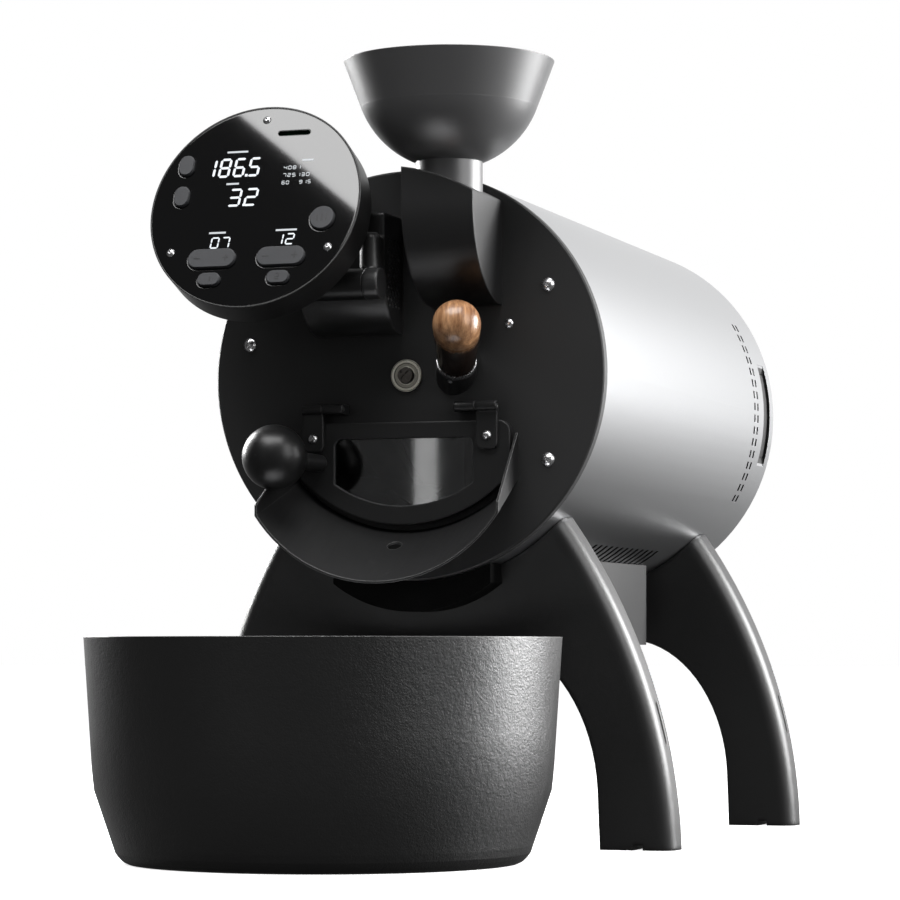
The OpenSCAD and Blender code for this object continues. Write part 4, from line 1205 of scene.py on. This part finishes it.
@dataclass
class Cooler(Assembly):
    """Free-standing cooling bowl with its tray, motor and fan."""

    def build(self) -> None:
        """Dresses the bowl."""
        self.dress(BOWL_COAT, "cooler_bowl")
        self.dress(STEEL, "cooler_tray", "cooler_motor")
        self.dress(BLACK_PLASTIC, "cooler_fan")


# ------------------------------------ studio


@dataclass(frozen=True)
class Softbox:
    """A rectangular studio lamp that points at a place, or down with a turn in degrees."""

    name: str
    place: Point
    target: Point
    size: Span
    watts: float
    turn: float | None = None

    def build(self) -> None:
        """Makes the lamp, and turns one that points straight down about the vertical."""
        data = bpy.data.lights.new(self.name, "AREA")
        data.shape = "RECTANGLE"
        data.size, data.size_y = self.size
        data.energy = self.watts
        lamp = bpy.data.objects.new(self.name, data)
        lamp.location = self.place
        aim = Vector(self.target) - Vector(self.place)
        lamp.rotation_euler = aim.to_track_quat("-Z", "Y").to_euler()
        if self.turn is not None:
            lamp.rotation_euler = (0.0, 0.0, math.radians(self.turn))
        bpy.context.scene.collection.objects.link(lamp)


@dataclass
class Studio:
    """Camera, lamps, floor and world.

    The floor's glow is its level for the camera near the object, and it reaches white
    over floor_fade. Its gloss levels are what reflections see of it, in front and, past
    back_fade, behind. The room's level is what they see in front, up to white over
    room_fade, and fill is the level of the light from all round.
    """

    camera_place: Point = (0.7838, -2.34995, 0.13576)
    camera_turn: float = 18.86
    lens: float = 139.35
    shift: Span = (0.0225, 0.2254)
    floor_glow: float = 0.74
    floor_gloss: float = 0.04
    back_gloss: float = 0.6
    floor_fade: Span = (0.8, 2.4)
    back_fade: Span = (0.7, 2.6)
    floor_reach: float = 30.0
    floor_rough: float = 0.8
    floor_specular: float = 0.1
    floor_shades: tuple[Colour, Colour] = (grey(0.03), grey(0.9))
    room: float = 0.045
    room_fade: Span = (0.35, 0.9)
    fill: float = 0.08
    softboxes: list[Softbox] = field(default_factory=lambda: [
        Softbox("side_box", (1.7, 0.95, 0.6), (0.0, 0.0, 0.3), (1.2, 1.15), 78.0),
        Softbox("top_box", (-0.018, -0.902, 1.9), (-0.018, -0.902, 0.0), (1.8, 1.4), 56.0, turn=33.3),
        Softbox("left_box", (-1.45, 0.65, 0.9), (0.0, 0.0, 0.4), (0.5, 0.9), 40.0),
        Softbox("window_strip", (-1.045, -3.2, 0.5), (0.01, -0.1, 0.5), (0.037, 1.4), 0.62),
        Softbox("right_box", (1.6, -0.75, 0.95), (0.0, -0.1, 0.45), (0.9, 1.4), 12.0),
    ])

    def build(self) -> None:
        """Builds the studio in order."""
        self.camera()
        for box in self.softboxes:
            box.build()
        self.floor()
        self.world()
        bpy.context.scene.view_settings.view_transform = "Standard"
        log.info("studio with %d softboxes", len(self.softboxes))

    def camera(self) -> None:
        """A level long-lens camera in the photograph's place."""
        data = bpy.data.cameras.new("camera")
        data.lens = self.lens
        data.shift_x, data.shift_y = self.shift
        data.clip_end = 100.0
        camera = bpy.data.objects.new("camera", data)
        camera.location = self.camera_place
        camera.rotation_euler = (math.radians(90), 0, math.radians(self.camera_turn))
        bpy.context.scene.collection.objects.link(camera)
        bpy.context.scene.camera = camera

    @staticmethod
    def rays(tree: Tree) -> tuple[Socket, Socket]:
        """Tells rays apart.

        Args:
            tree: the material's or world's nodes.

        Returns:
            1 for what the camera sees, straight or through glass, and 1 for a reflection.
        """
        path = tree.add("LightPath")
        seen = tree.math("MAXIMUM", path.outputs["Is Camera Ray"], path.outputs["Is Transmission Ray"])
        return seen, path.outputs["Is Glossy Ray"]

    def floor(self) -> None:
        """A wide pale floor that keeps a soft shadow and fades to white far away."""
        reach = self.floor_reach
        corners = np.array([[-reach, -reach, 0], [reach, -reach, 0], [reach, reach, 0], [-reach, reach, 0]])
        floor = put_mesh("floor", corners, [(0, 1, 2, 3)])
        made = bpy.data.materials.new("studio_floor")
        made.use_nodes = True
        tree = Tree(made.node_tree)
        seen, mirrored = self.rays(tree)
        far = tree.fit(tree.vector("LENGTH", tree.here()), *self.floor_fade, self.floor_glow, 1.0)
        behind = tree.fit(tree.split(tree.here(), "Y"), *self.back_fade, self.floor_gloss, self.back_gloss)
        glow, shine = tree.math("MULTIPLY", seen, far), tree.math("MULTIPLY", mirrored, behind)
        paper = tree.add("BsdfPrincipled", {
            "Base Color": tree.blend(seen, *self.floor_shades),
            "Roughness": self.floor_rough,
            "Specular IOR Level": self.floor_specular,
            "Emission Color": WHITE,
            "Emission Strength": tree.math("MAXIMUM", glow, shine),
        })
        tree.add("OutputMaterial", {"Surface": paper.outputs[0]})
        floor.data.materials.append(made)

    def world(self) -> None:
        """White where the camera looks, and for gloss a room that darkens to the front."""
        world = bpy.data.worlds.new("studio_world")
        bpy.context.scene.world = world
        world.use_nodes = True
        tree = Tree(world.node_tree)
        toward = tree.split(tree.add("TexCoord").outputs["Generated"], "Y")
        seen, mirrored = self.rays(tree)
        glossy = tree.math("MULTIPLY", mirrored, tree.fit(toward, *self.room_fade, self.room, 1.0))
        level = tree.math("MAXIMUM", tree.math("MAXIMUM", seen, glossy), self.fill)
        sky = tree.add("Background", {"Color": WHITE, "Strength": level})
        tree.add("OutputWorld", {"Surface": sky.outputs[0]})


# ------------------------------------ main


def main() -> None:
    """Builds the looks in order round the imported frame."""
    logging.basicConfig(level=logging.INFO, format="%(name)s: %(message)s")
    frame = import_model()
    Studio().build()
    for assembly in (Barrel, DrumDrive, Door, Tryer, Hopper, ControlPanel, Cooler):
        assembly(frame).build()
        log.info("built %s", assembly.__name__)


if __name__ == "__main__":
    main()
